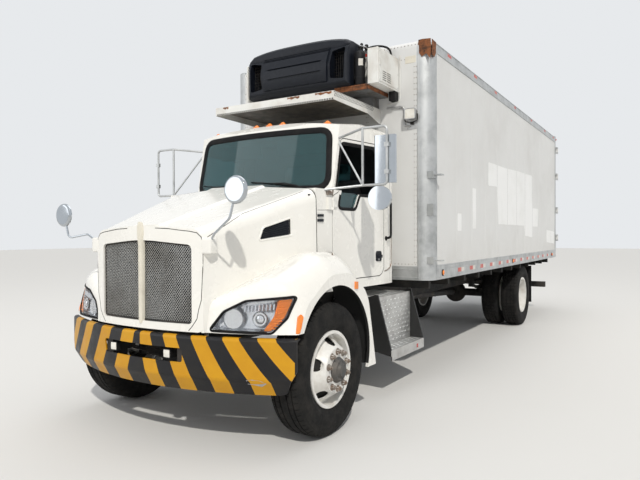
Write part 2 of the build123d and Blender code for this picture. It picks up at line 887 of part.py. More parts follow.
fender_sections = (
    # x, front y, brow y, brow z, crest z, rear y
    (400, -812, -800, 1120, 1240, 560),
    (880, -690, -640, 1200, 1412, 640),
    (1110, -590, -500, 1190, 1400, 690),
    (1205, -525, -400, 1060, 1265, 690),
)


def fender_form(inset):
    """Left fender, lofted outward through side-view outlines."""
    faces = []
    for x, front_y, brow_y, brow_z, crest_z, rear_y in fender_sections:
        out = x if x < 1200 else x - inset
        rows = (
            (front_y + inset, 862),
            (brow_y + inset * 0.7, brow_z - inset, 140),
            (-80, crest_z - inset - 12, 300),
            (230, crest_z - inset - 12, 260),
            (rear_y - 150 - inset, 1070, 300),
            (rear_y - inset, 431),
            (200, 431),
            (-200, 862),
        )
        faces.append(Plane.YZ.offset(out) * rounded(*rows))
    return loft(faces)


headlamp_rows = [
    (606, 880, 14),
    (700, 1010, 60),
    (850, 1088, 120),
    (1152, 1118, 12),
    (1122, 975, 40),
    (1045, 874, 40),
]
vent_rows = [(-310, 1523, 8), (-272, 1612, 40), (-13, 1688, 8), (-13, 1560, 8)]


def hood_parts():
    """Hood shell with fenders, and the two headlamps cut from the same surface."""
    outer = nose_form(0)
    left_outer = fender_form(0)
    left_inner = fender_form(hood_wall)
    outer = outer + left_outer + other_side(left_outer)
    inner = nose_form(hood_wall) + block(-540, 540, nose_front_y - 10, nose_front_y + 60, 800, 1560)
    inner = inner + left_inner + other_side(left_inner)
    inner += block(-830, 830, hood_rear_y - 60, hood_rear_y + 20, 800, 1900)
    inner += block(-1170, 1170, -400, 560, 400, 870)
    shell = outer - inner
    shell -= block(-fender_inner_x, fender_inner_x, hood_rear_y, 900, 400, 2000)
    shell -= block(-rail_outer_x - 90, rail_outer_x + 90, hood_rear_y - 700, 900, 400, 1100)
    arch = across(Pos(arch_centre_y, arch_centre_z) * Circle(arch_radius), 560, 1300)
    shell -= arch
    shell -= other_side(arch)
    shell -= surround_clearance()
    shell += block(-560, 560, nose_front_y + 0.3, nose_front_y + 25, 866, 900)
    arm = hood_arm()
    shell += arm + other_side(arm)
    prism = lengthwise(rounded(*headlamp_rows), -900, -380)
    small = lengthwise(grown(headlamp_rows, -seat_gap), -900, -380)
    lens = (left_outer & small) - Pos(0, 70, 0) * left_outer
    shell -= prism
    shell -= other_side(prism)
    vent = across(rounded(*vent_rows), 600, 1300)
    shell -= vent & (outer - nose_form(12))
    shell -= other_side(vent) & (outer - nose_form(12))
    return shell, lens + other_side(lens)


def surround_clearance():
    """Room behind the grille surround and its grille."""
    shallow = block(-560, 560, -900, nose_front_y + 2, 800, 1560)
    return shallow + block(-545, 545, -900, nose_front_y + 130, 800, 1560)


def hood_arm():
    """Left goose-neck arm from the hood's front bar down and back round to the hinge pin."""
    y, z = hood_hinge_y, hood_hinge_z
    path = FilletPolyline((y, z), (y + 165, z + 60), (y + 165, z + 183), (y + 12, z + 183), radius=24)
    strip = trace(path, line_width=24)
    face = strip + Pos(y, z) * Circle(16) - Pos(y, z) * Circle(hood_pin_radius + bearing_gap)
    return across(face, hood_hinge_x, hood_hinge_x + hood_arm_thickness)


def surround_band(front, depth):
    """Plan-curved band behind the nose's front face."""
    centre_y = surround_front_y + surround_plan_radius
    outer = Pos(0, centre_y, 1200) * Cylinder(surround_plan_radius - front, 1400)
    inner = Pos(0, centre_y, 1200) * Cylinder(surround_plan_radius - front - depth, 1400)
    return outer - inner


surround_rows = [(576, 862, 50), (570, 1598, 105), (0, 1640, 2500)]
grille_rows = [
    (grille_half_width, grille_bottom_z, 30),
    (grille_half_width, grille_corner_z, 40),
    (0, grille_crown_z, 2000),
]


def grille_surround():
    face = rounded(*mirrored(surround_rows)) - rounded(*mirrored(grille_rows))
    return surround_band(0, 120) & lengthwise(face, -1000, nose_front_y)


def grille():
    """Centre bar and crossed bars, in a thin frame."""
    outline = grown(mirrored(grille_rows), -1)
    hole = grown(mirrored(grille_rows), -14)
    frame = surround_band(16, 24) & lengthwise(outline - hole, -1000, -700)
    bars = None
    for lean in (-1, 1):
        for i in range(-grille_bar_pairs, grille_bar_pairs + 1):
            bar = Pos(i * grille_bar_pitch, 1210) * Rot(0, 0, lean * 38) * Rectangle(7, 1500)
            bars = bar if bars is None else bars + bar
    mesh = surround_band(22, 8) & lengthwise(bars & grown(mirrored(grille_rows), -8), -1000, -700)
    post_outline = rounded((-24, 940), (0, 906, 8), (24, 940), (22, 1598, 10), (-22, 1598, 10))
    post = surround_band(-8, 40) & lengthwise(post_outline, -1000, -700)
    return frame + mesh + (post - grille_surround())


def hood_mirror(head_z):
    """Left convex mirror on its bent arm, standing on a socket on the hood's side."""
    y = -766
    socket = rounded((y - 30, 1436, 20), (y + 34, 1436, 20), (y + 34, 1540, 20), (y - 30, 1540, 20))
    base = across(socket, 560, 612) - nose_form(0)
    arm_path = [(604, y, 1500), (690, y - 40, 1570), (870, y - 90, head_z - 190), (927, y - 90, head_z)]
    arm = bent_tube(arm_path, 9, 40)
    head = Pos(927, y - 98, head_z) * Rot(90, 0, 0) * Cylinder(97, 24)
    head = fillet(head.edges().filter_by(GeomType.CIRCLE).sort_by(Axis.Y)[0], 20)
    return base + arm + head


# Step box and fuel tank under the doors
def step_box():
    """Battery and step box under the left door, with its lower step on two brackets."""
    body = block(560, 1000, step_box_front_y, step_box_rear_y, 430, 950)
    tread = block(990, 1150, step_box_front_y, step_box_rear_y + 18, 430, 460)
    tread += block(1140, 1150, step_box_front_y, step_box_rear_y + 18, 360, 460)
    box = body + tread
    bracket_outline = rounded(
        (900, 950),
        (980, 980),
        (1010, 980),
        (1150, 460),
        (1150, 400),
        (1000, 430),
        (900, 430),
    )
    for y in (step_box_front_y - 18, step_box_rear_y):
        box += lengthwise(bracket_outline, y, y + 18)
    for y in (step_box_front_y + 140, step_box_rear_y - 152):
        box += block(rail_outer_x, 560, y - 40, y + 40, 760, 900)
    return box


def fuel_tank():
    """Round tank on the right, on two saddles, with a step over it."""
    tank = Pos(-800, 1560, 690) * Rot(90, 0, 0) * Cylinder(280, 1000)
    saddles = None
    for y in (1240, 1880):
        saddle = block(-800, -rail_outer_x, y - 40, y + 40, 600, 940)
        saddles = saddle if saddles is None else saddles + saddle
    step = block(-1150, -940, 1180, 1940, 440, 470)
    for y in (1200, 1890):
        step += block(-1120, -940, y, y + 30, 440, 700)
    return tank + saddles + step


def air_tanks():
    """Two air reservoirs hung inside the right rail's outer side."""
    pieces = None
    for y in (3300, 4150):
        tank = Pos(-600, y, 830) * Rot(90, 0, 0) * Cylinder(120, 640)
        strap = block(-600, -rail_outer_x, y - 30, y + 30, 800, 900)
        pieces = tank + strap if pieces is None else pieces + tank + strap
    return pieces


# Insulated box
def box_floor():
    """Floor slab on cross bearers that lie on the frame rails."""
    half = box_half_width - box_wall
    y0 = box_front_y + box_wall
    slab = block(-half, half, y0, box_rear_y - rear_frame_depth, box_rail_top_z - 125, box_floor_top_z)
    for i in range(-8, 4):
        y = wheelbase + (i + 0.5) * bearer_pitch
        slab += block(-half, half, y - 30, y + 30, rail_top_z, box_rail_top_z - 125)
    return slab


def box_side():
    y0 = box_front_y + corner_post_radius
    y1 = box_rear_y - rear_frame_depth
    return block(box_half_width - box_wall, box_half_width - 4, y0, y1, box_rail_top_z, box_top_rail_z)


def box_rails():
    """Aluminium rails along the foot and the top of both sides."""
    y0 = box_front_y + corner_post_radius
    y1 = box_rear_y - rear_frame_depth
    low = block(box_half_width - box_wall, box_half_width, y0, y1, box_bottom_z, box_rail_top_z)
    high_rows = [
        (box_half_width - box_wall, box_top_rail_z),
        (box_half_width, box_top_rail_z),
        (box_half_width, box_roof_z, 60),
        (box_half_width - box_wall, box_roof_z),
    ]
    rails = low + lengthwise(rounded(*high_rows), y0, y1)
    return rails + other_side(rails)


def box_roof():
    half = box_half_width - box_wall
    y0 = box_front_y + box_wall
    return block(-half, half, y0, box_rear_y - rear_frame_depth, box_ceiling_z, box_roof_z)


def box_front_wall():
    """Front bulkhead, rounded over at the roof's edge."""
    edge = box_half_width - corner_post_radius
    rows = [
        (box_front_y, box_bottom_z),
        (box_front_y, box_roof_z, 75),
        (box_front_y + box_wall, box_roof_z),
        (box_front_y + box_wall, box_bottom_z),
    ]
    return across(rounded(*rows), -edge, edge)


def corner_posts():
    """Rounded aluminium posts at the front corners."""
    edge = box_half_width - corner_post_radius
    y0, y1 = box_front_y, box_front_y + corner_post_radius
    outer = rounded(
        (edge, y0),
        (box_half_width, y0, corner_post_radius - 1),
        (box_half_width, y1),
        (box_half_width - box_wall, y1),
        (box_half_width - box_wall, y0 + box_wall),
        (edge, y0 + box_wall),
    )
    post = upward(outer, box_bottom_z, box_roof_z - 60)
    capped = upward(outer, box_bottom_z, box_roof_z - 4)
    return post + other_side(capped)


def box_rear_frame():
    y0, y1 = box_rear_y - rear_frame_depth, box_rear_y
    half = box_half_width
    face = rounded((-half, box_bottom_z), (half, box_bottom_z), (half, box_roof_z), (-half, box_roof_z))
    opening = rounded(*rear_opening_rows(0))
    return lengthwise(face - opening, y0, y1)


def rear_opening_rows(gap):
    half = box_half_width - rear_post_width - gap
    return (
        (-half, box_bottom_z + rear_sill_height + gap),
        (half, box_bottom_z + rear_sill_height + gap),
        (half, box_roof_z - rear_header_height - gap),
        (-half, box_roof_z - rear_header_height - gap),
    )


# Joint axes of the rear doors
rear_hinge_x = box_half_width + rear_hinge_out
rear_hinge_y = box_rear_y + rear_hinge_back


def rear_door():
    """Left rear door with its lock rod, keepers and hinge straps."""
    half = box_half_width - rear_post_width - rear_door_gap
    z0 = box_bottom_z + rear_sill_height + rear_door_gap
    z1 = box_roof_z - rear_header_height - rear_door_gap
    y1 = box_rear_y
    door = block(rear_door_gap, half, y1 - rear_door_thickness, y1, z0, z1)
    for z in rear_hinge_zs:
        strap = block(half - 260, rear_hinge_x, y1 + 6, y1 + 17, z - 35, z + 35)
        strap += block(half - 260, half - 4, y1 - 1, y1 + 7, z - 35, z + 35)
        strap += block(rear_hinge_x - 12, rear_hinge_x + 12, y1 + 6, rear_hinge_y, z - 35, z + 35)
        strap += Pos(rear_hinge_x, rear_hinge_y, z) * Cylinder(12, 70)
        strap -= Pos(rear_hinge_x, rear_hinge_y, z) * Cylinder(rear_pin_radius + bearing_gap, 72)
        door += strap
    rod_x = half - 330
    door += rod((rod_x, y1 + 28, z0 + 20), (rod_x, y1 + 28, z1 - 20), 14)
    for z in (z0 + 120, z0 + 800, z1 - 800, z1 - 120):
        door += block(rod_x - 40, rod_x + 40, y1 - 1, y1 + 24, z - 25, z + 25)
    door += block(rod_x - 330, rod_x, y1 + 20, y1 + 34, 1700, 1730)
    door += block(rod_x - 340, rod_x - 300, y1 - 1, y1 + 34, 1690, 1740)
    return door


def rear_hinge_brackets():
    """The posts' side of the rear hinges, above and below each strap."""
    pieces = None
    for z in rear_hinge_zs:
        pin = Pos(rear_hinge_x, rear_hinge_y, z) * Cylinder(rear_pin_radius, 134)
        pieces = pin if pieces is None else pieces + pin
        for end in (-1, 1):
            c = z + end * 52
            ear = block(box_half_width - 2, rear_hinge_x, rear_hinge_y - 70, rear_hinge_y - 2, c - 15, c + 15)
            barrel = Pos(rear_hinge_x, rear_hinge_y, c) * Cylinder(12, 33)
            pieces = pieces + ear + barrel
    return pieces


# Steps on the left front corner post: z, and whether the step is folded out
corner_step_rows = ((2185, True), (1800, False), (1295, True))
corner_step_plate = (1840, 1950)
corner_step_reach = 90


def corner_steps():
    """Folding steps on the left post's rounded face: a plate for each, and the tread of an open one."""
    steps = None
    front, rear = corner_step_plate
    for z, is_open in corner_step_rows:
        high = z + (30 if is_open else 75)
        ring = block(box_half_width - 95, box_half_width + 10, front, rear, z - 45, high)
        if is_open:
            reach = box_half_width + corner_step_reach
            tread = block(box_half_width - 45, reach, front + 10, rear - 10, z - 14, z - 2)
            ring += tread
        steps = ring if steps is None else steps + ring
    return steps - box_corner()


def box_corner():
    """Solid form of the box's left front corner."""
    r = corner_post_radius - 1
    outline = rounded(
        (0, box_front_y),
        (box_half_width, box_front_y, r),
        (box_half_width, box_front_y + 400),
        (0, box_front_y + 400),
    )
    return upward(outline, box_bottom_z, box_roof_z)


# Cooling unit, its platform and control box
def unit_shroud():
    """Moulded cover with a raised centre panel between two intakes."""
    rows = [
        (unit_front_y, unit_bottom_z + 30, 40),
        (unit_front_y - 30, unit_bottom_z + 230, 100),
        (unit_front_y + 20, unit_top_z - 60, 60),
        (unit_front_y + 90, unit_top_z, 30),
        (unit_front_y + 330, unit_top_z),
        (unit_front_y + 330, unit_bottom_z),
        (unit_front_y + 60, unit_bottom_z, 30),
    ]
    body = across(rounded(*rows), -unit_half_width, unit_half_width)
    plan = upward(
        rounded(
            (-unit_half_width, unit_front_y + 400),
            (-unit_half_width, unit_front_y + 10, 60),
            (-unit_half_width + 120, unit_front_y - 40, 120),
            (unit_half_width - 120, unit_front_y - 40, 120),
            (unit_half_width, unit_front_y + 10, 60),
            (unit_half_width, unit_front_y + 400),
        ),
        unit_bottom_z - 10,
        unit_top_z + 10,
    )
    body &= plan
    intake = rounded(
        (430, unit_bottom_z + 90, 20),
        (590, unit_bottom_z + 70, 20),
        (600, unit_top_z - 60, 20),
        (450, unit_top_z - 90, 20),
    )
    cut = lengthwise(intake, unit_front_y - 100, unit_front_y + 180)
    body -= cut
    body -= other_side(cut)
    return body


def unit_base():
    """Base frame and machinery against the front wall."""
    y0, y1 = unit_front_y + 330, box_front_y
    x0, x1 = -unit_half_width - 60, control_box_x - 6
    core = block(x0 + 30, x1 - 20, y0, y1, unit_bottom_z + 20, unit_top_z - 30)
    tray = block(x0, x1, y0, y1, unit_bottom_z - 45, unit_bottom_z + 30)
    shelf = block(x0, x1, unit_front_y + 120, y1, unit_bottom_z - 45, unit_bottom_z)
    back = block(-700, 700, box_front_y - 150, box_front_y, platform_z + 6, unit_bottom_z)
    return core + tray + shelf + back


def control_box():
    x0, x1 = control_box_x, control_box_x + 115
    plan = rounded((x0, 1310, 6), (x1, 1310, 6), (x1, box_front_y), (x0, box_front_y))
    return upward(plan, unit_bottom_z, control_box_top_z)


def platform():
    """Service platform: perforated deck in a channel frame on side beams from the front wall."""
    y1 = box_front_y
    half = platform_half_width
    deck = block(-half, half, platform_front_y, y1, platform_z - 6, platform_z)
    y0 = platform_front_y
    front = block(-platform_half_width, platform_half_width, y0, y0 + 8, platform_z - 60, platform_z + 24)
    beam_rows = [
        (platform_front_y, platform_z + 24),
        (platform_front_y, platform_z - 60),
        (y1 - 300, platform_z - 70),
        (y1 - 60, platform_z - 130),
        (y1, platform_z - 130),
        (y1, platform_z + 24),
    ]
    beam = across(rounded(*beam_rows), platform_half_width, platform_half_width + 8)
    return deck + front + beam + other_side(beam)


# Rear end
def underride_guard():
    y = rail_rear_y + 10
    bar = block(-1100, 1100, y, y + 100, 450, 560)
    legs = None
    for x in (-400, 340):
        leg = block(x, x + 60, y - 40, y + 60, 560, rail_top_z - rail_height)
        legs = leg if legs is None else legs + leg
    return bar + legs


def mudflaps():
    y = wheelbase + 584
    flap = block(600, 1210, y, y + 12, 330, 985)
    arm = block(rail_outer_x, 1210, y - 20, y, 940, 985)
    return flap + arm + other_side(flap + arm)


os.makedirs("parts", exist_ok=True)

left_wheel = front_wheel()
left_tyre = tyre(front_wheel_x, 0)
save("wheel_front_left", left_wheel)
save("wheel_front_right", other_side(left_wheel))
save("tyre_front_left", left_tyre)
save("tyre_front_right", other_side(left_tyre))
left_twins = rear_wheels()
left_twin_tyres = tyre(rear_outer_x, wheelbase) + tyre(rear_inner_x, wheelbase)
save("wheels_rear_left", left_twins)
save("wheels_rear_right", other_side(left_twins))
left_rims = rear_rims()
save("rims_rear_left", left_rims)
save("rims_rear_right", other_side(left_rims))
save("tyres_rear_left", left_twin_tyres)
save("tyres_rear_right", other_side(left_twin_tyres))

save("front_axle", front_axle())
left_knuckle = knuckle()
save("knuckle_left", left_knuckle)
save("knuckle_right", other_side(left_knuckle))
save("tie_rod", tie_rod())
save("leaf_springs", springs())
save("rear_axle", rear_axle())
save("engine_block", engine_block())
save("radiator", radiator())
save("frame_rails", frame_rails())
save("frame_horns", frame_horns())
save("bumper", bumper())

cab, roof = cab_parts()
save("cab_shell", cab)
save("cab_roof", roof)
save("windshield", windshield())
save("cab_rear_window", rear_window())
save("dashboard", dashboard())
save("seats", seats())
door = left_door()
save("door_left", door)
save("door_right", other_side(door))
save("door_glass_left", left_door_glass())
save("door_glass_right", right_door_glass())
save("mirror_frames", mirror_frame() + other_side(mirror_frame()))
save("mirror_heads", mirror_heads())
save("roof_lamps", roof_lamps())

hood, headlamps = hood_parts()
save("hood", hood)
save("headlamps", headlamps)
save("grille_surround", grille_surround())
save("grille", grille())
save("hood_mirrors", hood_mirror(hood_mirror_left_z) + other_side(hood_mirror(hood_mirror_right_z)))

save("step_box", step_box())
save("fuel_tank", fuel_tank())
save("air_tanks", air_tanks())

save("box_floor", box_floor())
side_wall = box_side()
save("box_wall_left", side_wall)
save("box_wall_right", other_side(side_wall))
save("box_rails", box_rails())
save("box_roof", box_roof())
save("box_front_wall", box_front_wall())
save("corner_posts", corner_posts())
brackets = rear_hinge_brackets()
save("box_rear_frame", box_rear_frame() + brackets + other_side(brackets))
back_door = rear_door()
save("rear_door_left", back_door)
save("rear_door_right", other_side(back_door))
save("corner_steps", corner_steps())

save("unit_shroud", unit_shroud())
save("unit_base", unit_base())
save("control_box", control_box())
save("platform", platform())
save("underride_guard", underride_guard())
save("mudflaps", mudflaps())
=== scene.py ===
import math

import bmesh
import bpy
from mathutils import Matrix, Vector
from mathutils.bvhtree import BVHTree


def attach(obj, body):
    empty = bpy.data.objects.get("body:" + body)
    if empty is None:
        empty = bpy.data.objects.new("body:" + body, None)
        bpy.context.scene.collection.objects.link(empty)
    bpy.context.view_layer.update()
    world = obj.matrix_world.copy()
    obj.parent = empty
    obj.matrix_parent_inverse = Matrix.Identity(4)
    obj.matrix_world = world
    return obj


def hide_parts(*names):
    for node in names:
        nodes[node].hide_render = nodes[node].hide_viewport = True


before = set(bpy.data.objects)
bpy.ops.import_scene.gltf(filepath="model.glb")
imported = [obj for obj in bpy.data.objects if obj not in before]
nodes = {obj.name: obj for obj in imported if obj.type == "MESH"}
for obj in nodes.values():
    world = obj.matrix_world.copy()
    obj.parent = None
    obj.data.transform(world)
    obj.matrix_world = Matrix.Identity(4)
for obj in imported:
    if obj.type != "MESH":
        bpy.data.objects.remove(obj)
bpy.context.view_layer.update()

# Places are in metres, with y counted rearward from the front axle and moved by this to the model's origin
AXLE_Y = -4.099
REAR_AXLE = 6.466
SIDES = (("left", 1), ("right", -1))


def at(x, y, z):
    return Vector((x, y + AXLE_Y, z))


def new_object(name, data):
    obj = bpy.data.objects.new(name, data)
    bpy.context.scene.collection.objects.link(obj)
    return obj


# Directions of the vehicle: outward is to the left side, from which the right side is mirrored
OUTWARD = Vector((1, 0, 0))
INWARD = (-1, 0, 0)
AHEAD = Vector((0, -1, 0))
BACKWARD = (0, 1, 0)
UPWARD = (0, 0, 1)

# Camera. Its focal length is in pixels of the picture
PICTURE_WIDTH, PICTURE_HEIGHT = 640, 480
SENSOR_WIDTH = 36
FOCAL = 579.242
YAW, PITCH, ROLL = 0.5510, -0.008955, -0.003766
EYE = at(3.439, -3.872, 1.558)
FORWARD = Vector((-math.sin(YAW) * math.cos(PITCH), math.cos(YAW) * math.cos(PITCH), math.sin(PITCH)))
LEVEL = Vector((math.cos(YAW), math.sin(YAW), 0))
UPRIGHT = LEVEL.cross(FORWARD)
RIGHT = LEVEL * math.cos(ROLL) + UPRIGHT * math.sin(ROLL)
UP = UPRIGHT * math.cos(ROLL) - LEVEL * math.sin(ROLL)


def aim_camera():
    data = bpy.data.cameras.new("camera")
    data.lens = FOCAL / PICTURE_WIDTH * SENSOR_WIDTH
    data.sensor_width = SENSOR_WIDTH
    data.clip_end = 200
    cam = new_object("camera", data)
    rotation = Matrix((RIGHT, UP, -FORWARD)).transposed()
    cam.matrix_world = Matrix.Translation(EYE) @ rotation.to_4x4()
    bpy.context.scene.camera = cam


aim_camera()


# Materials
def find_node(tree, kind):
    return next(node for node in tree.nodes if node.type == kind)


def new_material(name):
    mat = bpy.data.materials.new(name)
    mat.use_nodes = True
    return mat, mat.node_tree, find_node(mat.node_tree, "BSDF_PRINCIPLED")


def linked_value(shader, name):
    """What now feeds this input of the shader."""
    return shader.inputs[name].links[0].from_socket


def feed(node, name, source):
    """Set an input of a node to a value, or link another node's output to it."""
    socket = node.inputs[name]
    if isinstance(source, bpy.types.NodeSocket):
        node.id_data.links.new(source, socket)
    else:
        socket.default_value = source


def new_node(tree, kind, **inputs):
    """Shader node whose inputs are fed. An underscore in an input's name stands for a space."""
    node = tree.nodes.new("ShaderNode" + kind)
    for name, source in inputs.items():
        feed(node, name.replace("_", " "), source)
    return node


def object_coords(tree):
    return new_node(tree, "TexCoord").outputs["Object"]


def noise(tree, vector, scale):
    return new_node(tree, "TexNoise", Vector=vector, Scale=scale, Detail=6.0, Roughness=0.6).outputs["Fac"]


def ramp(tree, value, low, high, to_low=0.0, to_high=1.0):
    node = new_node(tree, "MapRange", Value=value, From_Min=low, From_Max=high, To_Min=to_low,
                    To_Max=to_high)
    return node.outputs["Result"]


def math_node(tree, kind, *values):
    node = new_node(tree, "Math")
    node.operation = kind
    for i, value in enumerate(values):
        feed(node, i, value)
    return node.outputs["Value"]


def mixed(tree, factor, a, b):
    """Colour a where factor is 0, b where it is 1. A colour may be a tuple or a socket."""
    node = new_node(tree, "Mix")
    node.data_type = "RGBA"
    feed(node, "Factor", factor)
    for key, value in (("A", a), ("B", b)):
        place = next(i for i, s in enumerate(node.inputs) if s.name == key and s.type == "RGBA")
        feed(node, place, (*value, 1) if isinstance(value, tuple) else value)
    return next(s for s in node.outputs if s.type == "RGBA")


def axis_value(tree, vector, axis):
    return new_node(tree, "SeparateXYZ", Vector=vector).outputs[axis]


def bump(tree, shader, height, distance):
    feed(shader, "Normal", new_node(tree, "Bump", Distance=distance, Height=height).outputs["Normal"])


def finish(name, base, second, scale=3.0, rough=(0.35, 0.55), metal=0.0, relief=0.0, relief_scale=60.0,
           low_dust=None, coat=0.0, spread=(0.45, 0.7), gloss=0.5):
    """Painted or bare surface: patchy colour, uneven gloss, fine relief, and road dust that fades upward."""
    mat, tree, shader = new_material(name)
    vector = object_coords(tree)
    colour = mixed(tree, ramp(tree, noise(tree, vector, scale), *spread), base, second)
    if low_dust:
        dust_colour, low, high, most = low_dust
        height = ramp(tree, axis_value(tree, vector, "Z"), low, high, most, 0.0)
        patch = ramp(tree, noise(tree, vector, 7.0), 0.3, 0.7, 0.35, 1.0)
        colour = mixed(tree, math_node(tree, "MULTIPLY", height, patch), colour, dust_colour)
    feed(shader, "Base Color", colour)
    feed(shader, "Roughness", ramp(tree, noise(tree, vector, scale * 5), 0.3, 0.7, *rough))
    feed(shader, "Metallic", metal)
    feed(shader, "Specular IOR Level", gloss)
    feed(shader, "Coat Weight", coat)
    feed(shader, "Coat Roughness", 0.12)
    if relief:
        bump(tree, shader, noise(tree, vector, relief_scale), relief)
    return mat


# Colours and finishes: two colours, size of the patches, range of the roughness
PAINT = ((0.86, 0.845, 0.8), (0.82, 0.8, 0.75), 1.2, (0.2, 0.32))
cab_white = finish("cab_white", *PAINT, coat=0.4, low_dust=((0.62, 0.58, 0.5), 0.35, 1.1, 0.3))
box_white = finish("box_white", (0.7, 0.7, 0.69), (0.64, 0.635, 0.62), 0.9, (0.4, 0.6),
                   low_dust=((0.5, 0.46, 0.4), 1.05, 1.6, 0.3))
cream_white = finish("cream_white", (0.72, 0.68, 0.58), (0.6, 0.56, 0.47), 6, (0.4, 0.6))
aluminium = finish("aluminium", (0.55, 0.56, 0.56), (0.4, 0.41, 0.41), 5, (0.35, 0.6), metal=0.85,
                   relief=0.0006)
chassis_black = finish("chassis_black", (0.02, 0.02, 0.02), (0.06, 0.052, 0.045), 4, (0.6, 0.85),
                       relief=0.0008, gloss=0.25)
engine_grey = finish("engine_grey", (0.09, 0.09, 0.09), (0.16, 0.14, 0.12), 6, (0.55, 0.8), metal=0.4,
                     relief=0.002)
wheel_white = finish("wheel_white", (0.78, 0.77, 0.74), (0.64, 0.61, 0.56), 9, (0.3, 0.5), relief=0.0004)
rubber = finish("rubber", (0.006, 0.006, 0.007), (0.014, 0.013, 0.013), 12, (0.6, 0.85), relief=0.0005,
                relief_scale=200, gloss=0.2)
dusty_tyre = finish("dusty_tyre", (0.012, 0.012, 0.012), (0.036, 0.033, 0.03), 10, (0.72, 0.92),
                    relief=0.0006, relief_scale=150, spread=(0.4, 0.9), gloss=0.15)
black_plastic = finish("black_plastic", (0.005, 0.007, 0.012), (0.009, 0.011, 0.017), 20, (0.38, 0.5),
                       relief=0.0003, relief_scale=300, gloss=0.28)
dark_trim = finish("dark_trim", (0.008, 0.008, 0.009), (0.016, 0.015, 0.015), 15, (0.5, 0.7), relief=0.0004,
                   relief_scale=220, gloss=0.25)
interior_grey = finish("interior_grey", (0.075, 0.075, 0.08), (0.11, 0.11, 0.11), 9, (0.6, 0.8),
                       relief=0.0006, relief_scale=160)
rust = finish("rust", (0.24, 0.085, 0.03), (0.03, 0.016, 0.01), 22, (0.8, 0.95), relief=0.002,
              relief_scale=45)
machinery = finish("machinery", (0.2, 0.2, 0.2), (0.1, 0.085, 0.07), 8, (0.5, 0.8), metal=0.5, relief=0.001)
UNIT_PAINT = ((0.76, 0.76, 0.73), (0.6, 0.57, 0.52), 4, (0.4, 0.6))
unit_white = finish("unit_white", *UNIT_PAINT, relief=0.0006)


def shaded_below(mat):
    """Faces that look down are darkened with a patchy dark brown: painted shade."""
    tree = mat.node_tree
    shader = find_node(tree, "BSDF_PRINCIPLED")
    coords = new_node(tree, "TexCoord")
    down = ramp(tree, axis_value(tree, coords.outputs["Normal"], "Z"), -0.3, -0.7)
    base = linked_value(shader, "Base Color")
    # Patchy dark brown of painted shade on the faces that look down
    painted_shade = mixed(tree, ramp(tree, noise(tree, coords.outputs["Object"], 9.0), 0.35, 0.7),
                 (0.07, 0.062, 0.052), (0.19, 0.165, 0.13))
    feed(shader, "Base Color", mixed(tree, down, base, painted_shade))
    return mat


def blacken_ends(mat):
    """The step box's end plates and their slanted edges are black."""
    tree = mat.node_tree
    shader = find_node(tree, "BSDF_PRINCIPLED")
    coords = new_node(tree, "TexCoord")
    ends = ramp(tree, math_node(tree, "ABSOLUTE", axis_value(tree, coords.outputs["Normal"], "Y")), 0.5, 0.55)
    up = axis_value(tree, coords.outputs["Normal"], "Z")
    low = math_node(tree, "LESS_THAN", up, 0.9)
    slant = math_node(tree, "MULTIPLY", math_node(tree, "GREATER_THAN", up, 0.1), low)
    black = math_node(tree, "MAXIMUM", ends, slant)
    base = linked_value(shader, "Base Color")
    feed(shader, "Base Color", mixed(tree, black, base, (0.015, 0.015, 0.015)))
    bare = math_node(tree, "SUBTRACT", 1.0, black)
    feed(shader, "Metallic", math_node(tree, "MULTIPLY", bare, 0.75))
    return mat


platform_paint = shaded_below(finish("platform_paint", *UNIT_PAINT, relief=0.0006))


# Below this height a hub can take over as the centre of the dark lining and painted shade, and faces that
# look up by more keep the paint
HUB_TOP = 1.1
MOST_UPWARD = 0.3


def lining_and_shade(mat, centre, apart, colour, hub=None):
    """Faces that look towards a centre take a dark colour: a lining colour with painted shade of the insides.
    Further than apart from the middle of the vehicle the hub takes the centre's place."""
    tree = mat.node_tree
    shader = find_node(tree, "BSDF_PRINCIPLED")
    coords = new_node(tree, "TexCoord")
    place, normal = coords.outputs["Object"], coords.outputs["Normal"]
    total = None
    for i, axis in enumerate("XYZ"):
        goal = centre[i]
        if hub:
            reach = math_node(tree, "ABSOLUTE", axis_value(tree, place, "X"))
            far = math_node(tree, "GREATER_THAN", reach, apart)
            low = math_node(tree, "LESS_THAN", axis_value(tree, place, "Z"), HUB_TOP)
            far = math_node(tree, "MULTIPLY", far, low)
            goal = ramp(tree, far, 0.0, 1.0, goal, hub[i])
            if axis == "X":
                side = math_node(tree, "SIGN", axis_value(tree, place, "X"))
                goal = math_node(tree, "MULTIPLY", goal, side)
        gap = math_node(tree, "SUBTRACT", goal, axis_value(tree, place, axis))
        part = math_node(tree, "MULTIPLY", gap, axis_value(tree, normal, axis))
        total = part if total is None else math_node(tree, "ADD", total, part)
    inside = ramp(tree, total, 0.02, 0.04)
    if hub:
        level = math_node(tree, "LESS_THAN", axis_value(tree, normal, "Z"), MOST_UPWARD)
        inside = math_node(tree, "MULTIPLY", inside, level)
    base = linked_value(shader, "Base Color")
    feed(shader, "Base Color", mixed(tree, inside, base, colour))
    rough = math_node(tree, "MULTIPLY", inside, 0.8)
    feed(shader, "Roughness", math_node(tree, "MAXIMUM", linked_value(shader, "Roughness"), rough))
    outside = math_node(tree, "SUBTRACT", 1.0, inside)
    feed(shader, "Coat Weight", math_node(tree, "MULTIPLY", outside, 0.4))
    return mat


# Inside faces of the cab, and of the hood and its wheel arches, are darkened: a dark lining colour with
# painted shade
CAB_MIDDLE = at(0, 1.05, 1.9)
cab_lining_and_shade = lining_and_shade(finish("cab_lining_and_shade", *PAINT), CAB_MIDDLE, 0, (0.035, 0.036, 0.04))
hood_lining_and_shade = lining_and_shade(finish("hood_lining_and_shade", *PAINT), at(0, -0.2, 1.1), 0.6, (0.012, 0.012, 0.012),
                   at(1.0, 0, 0.6))


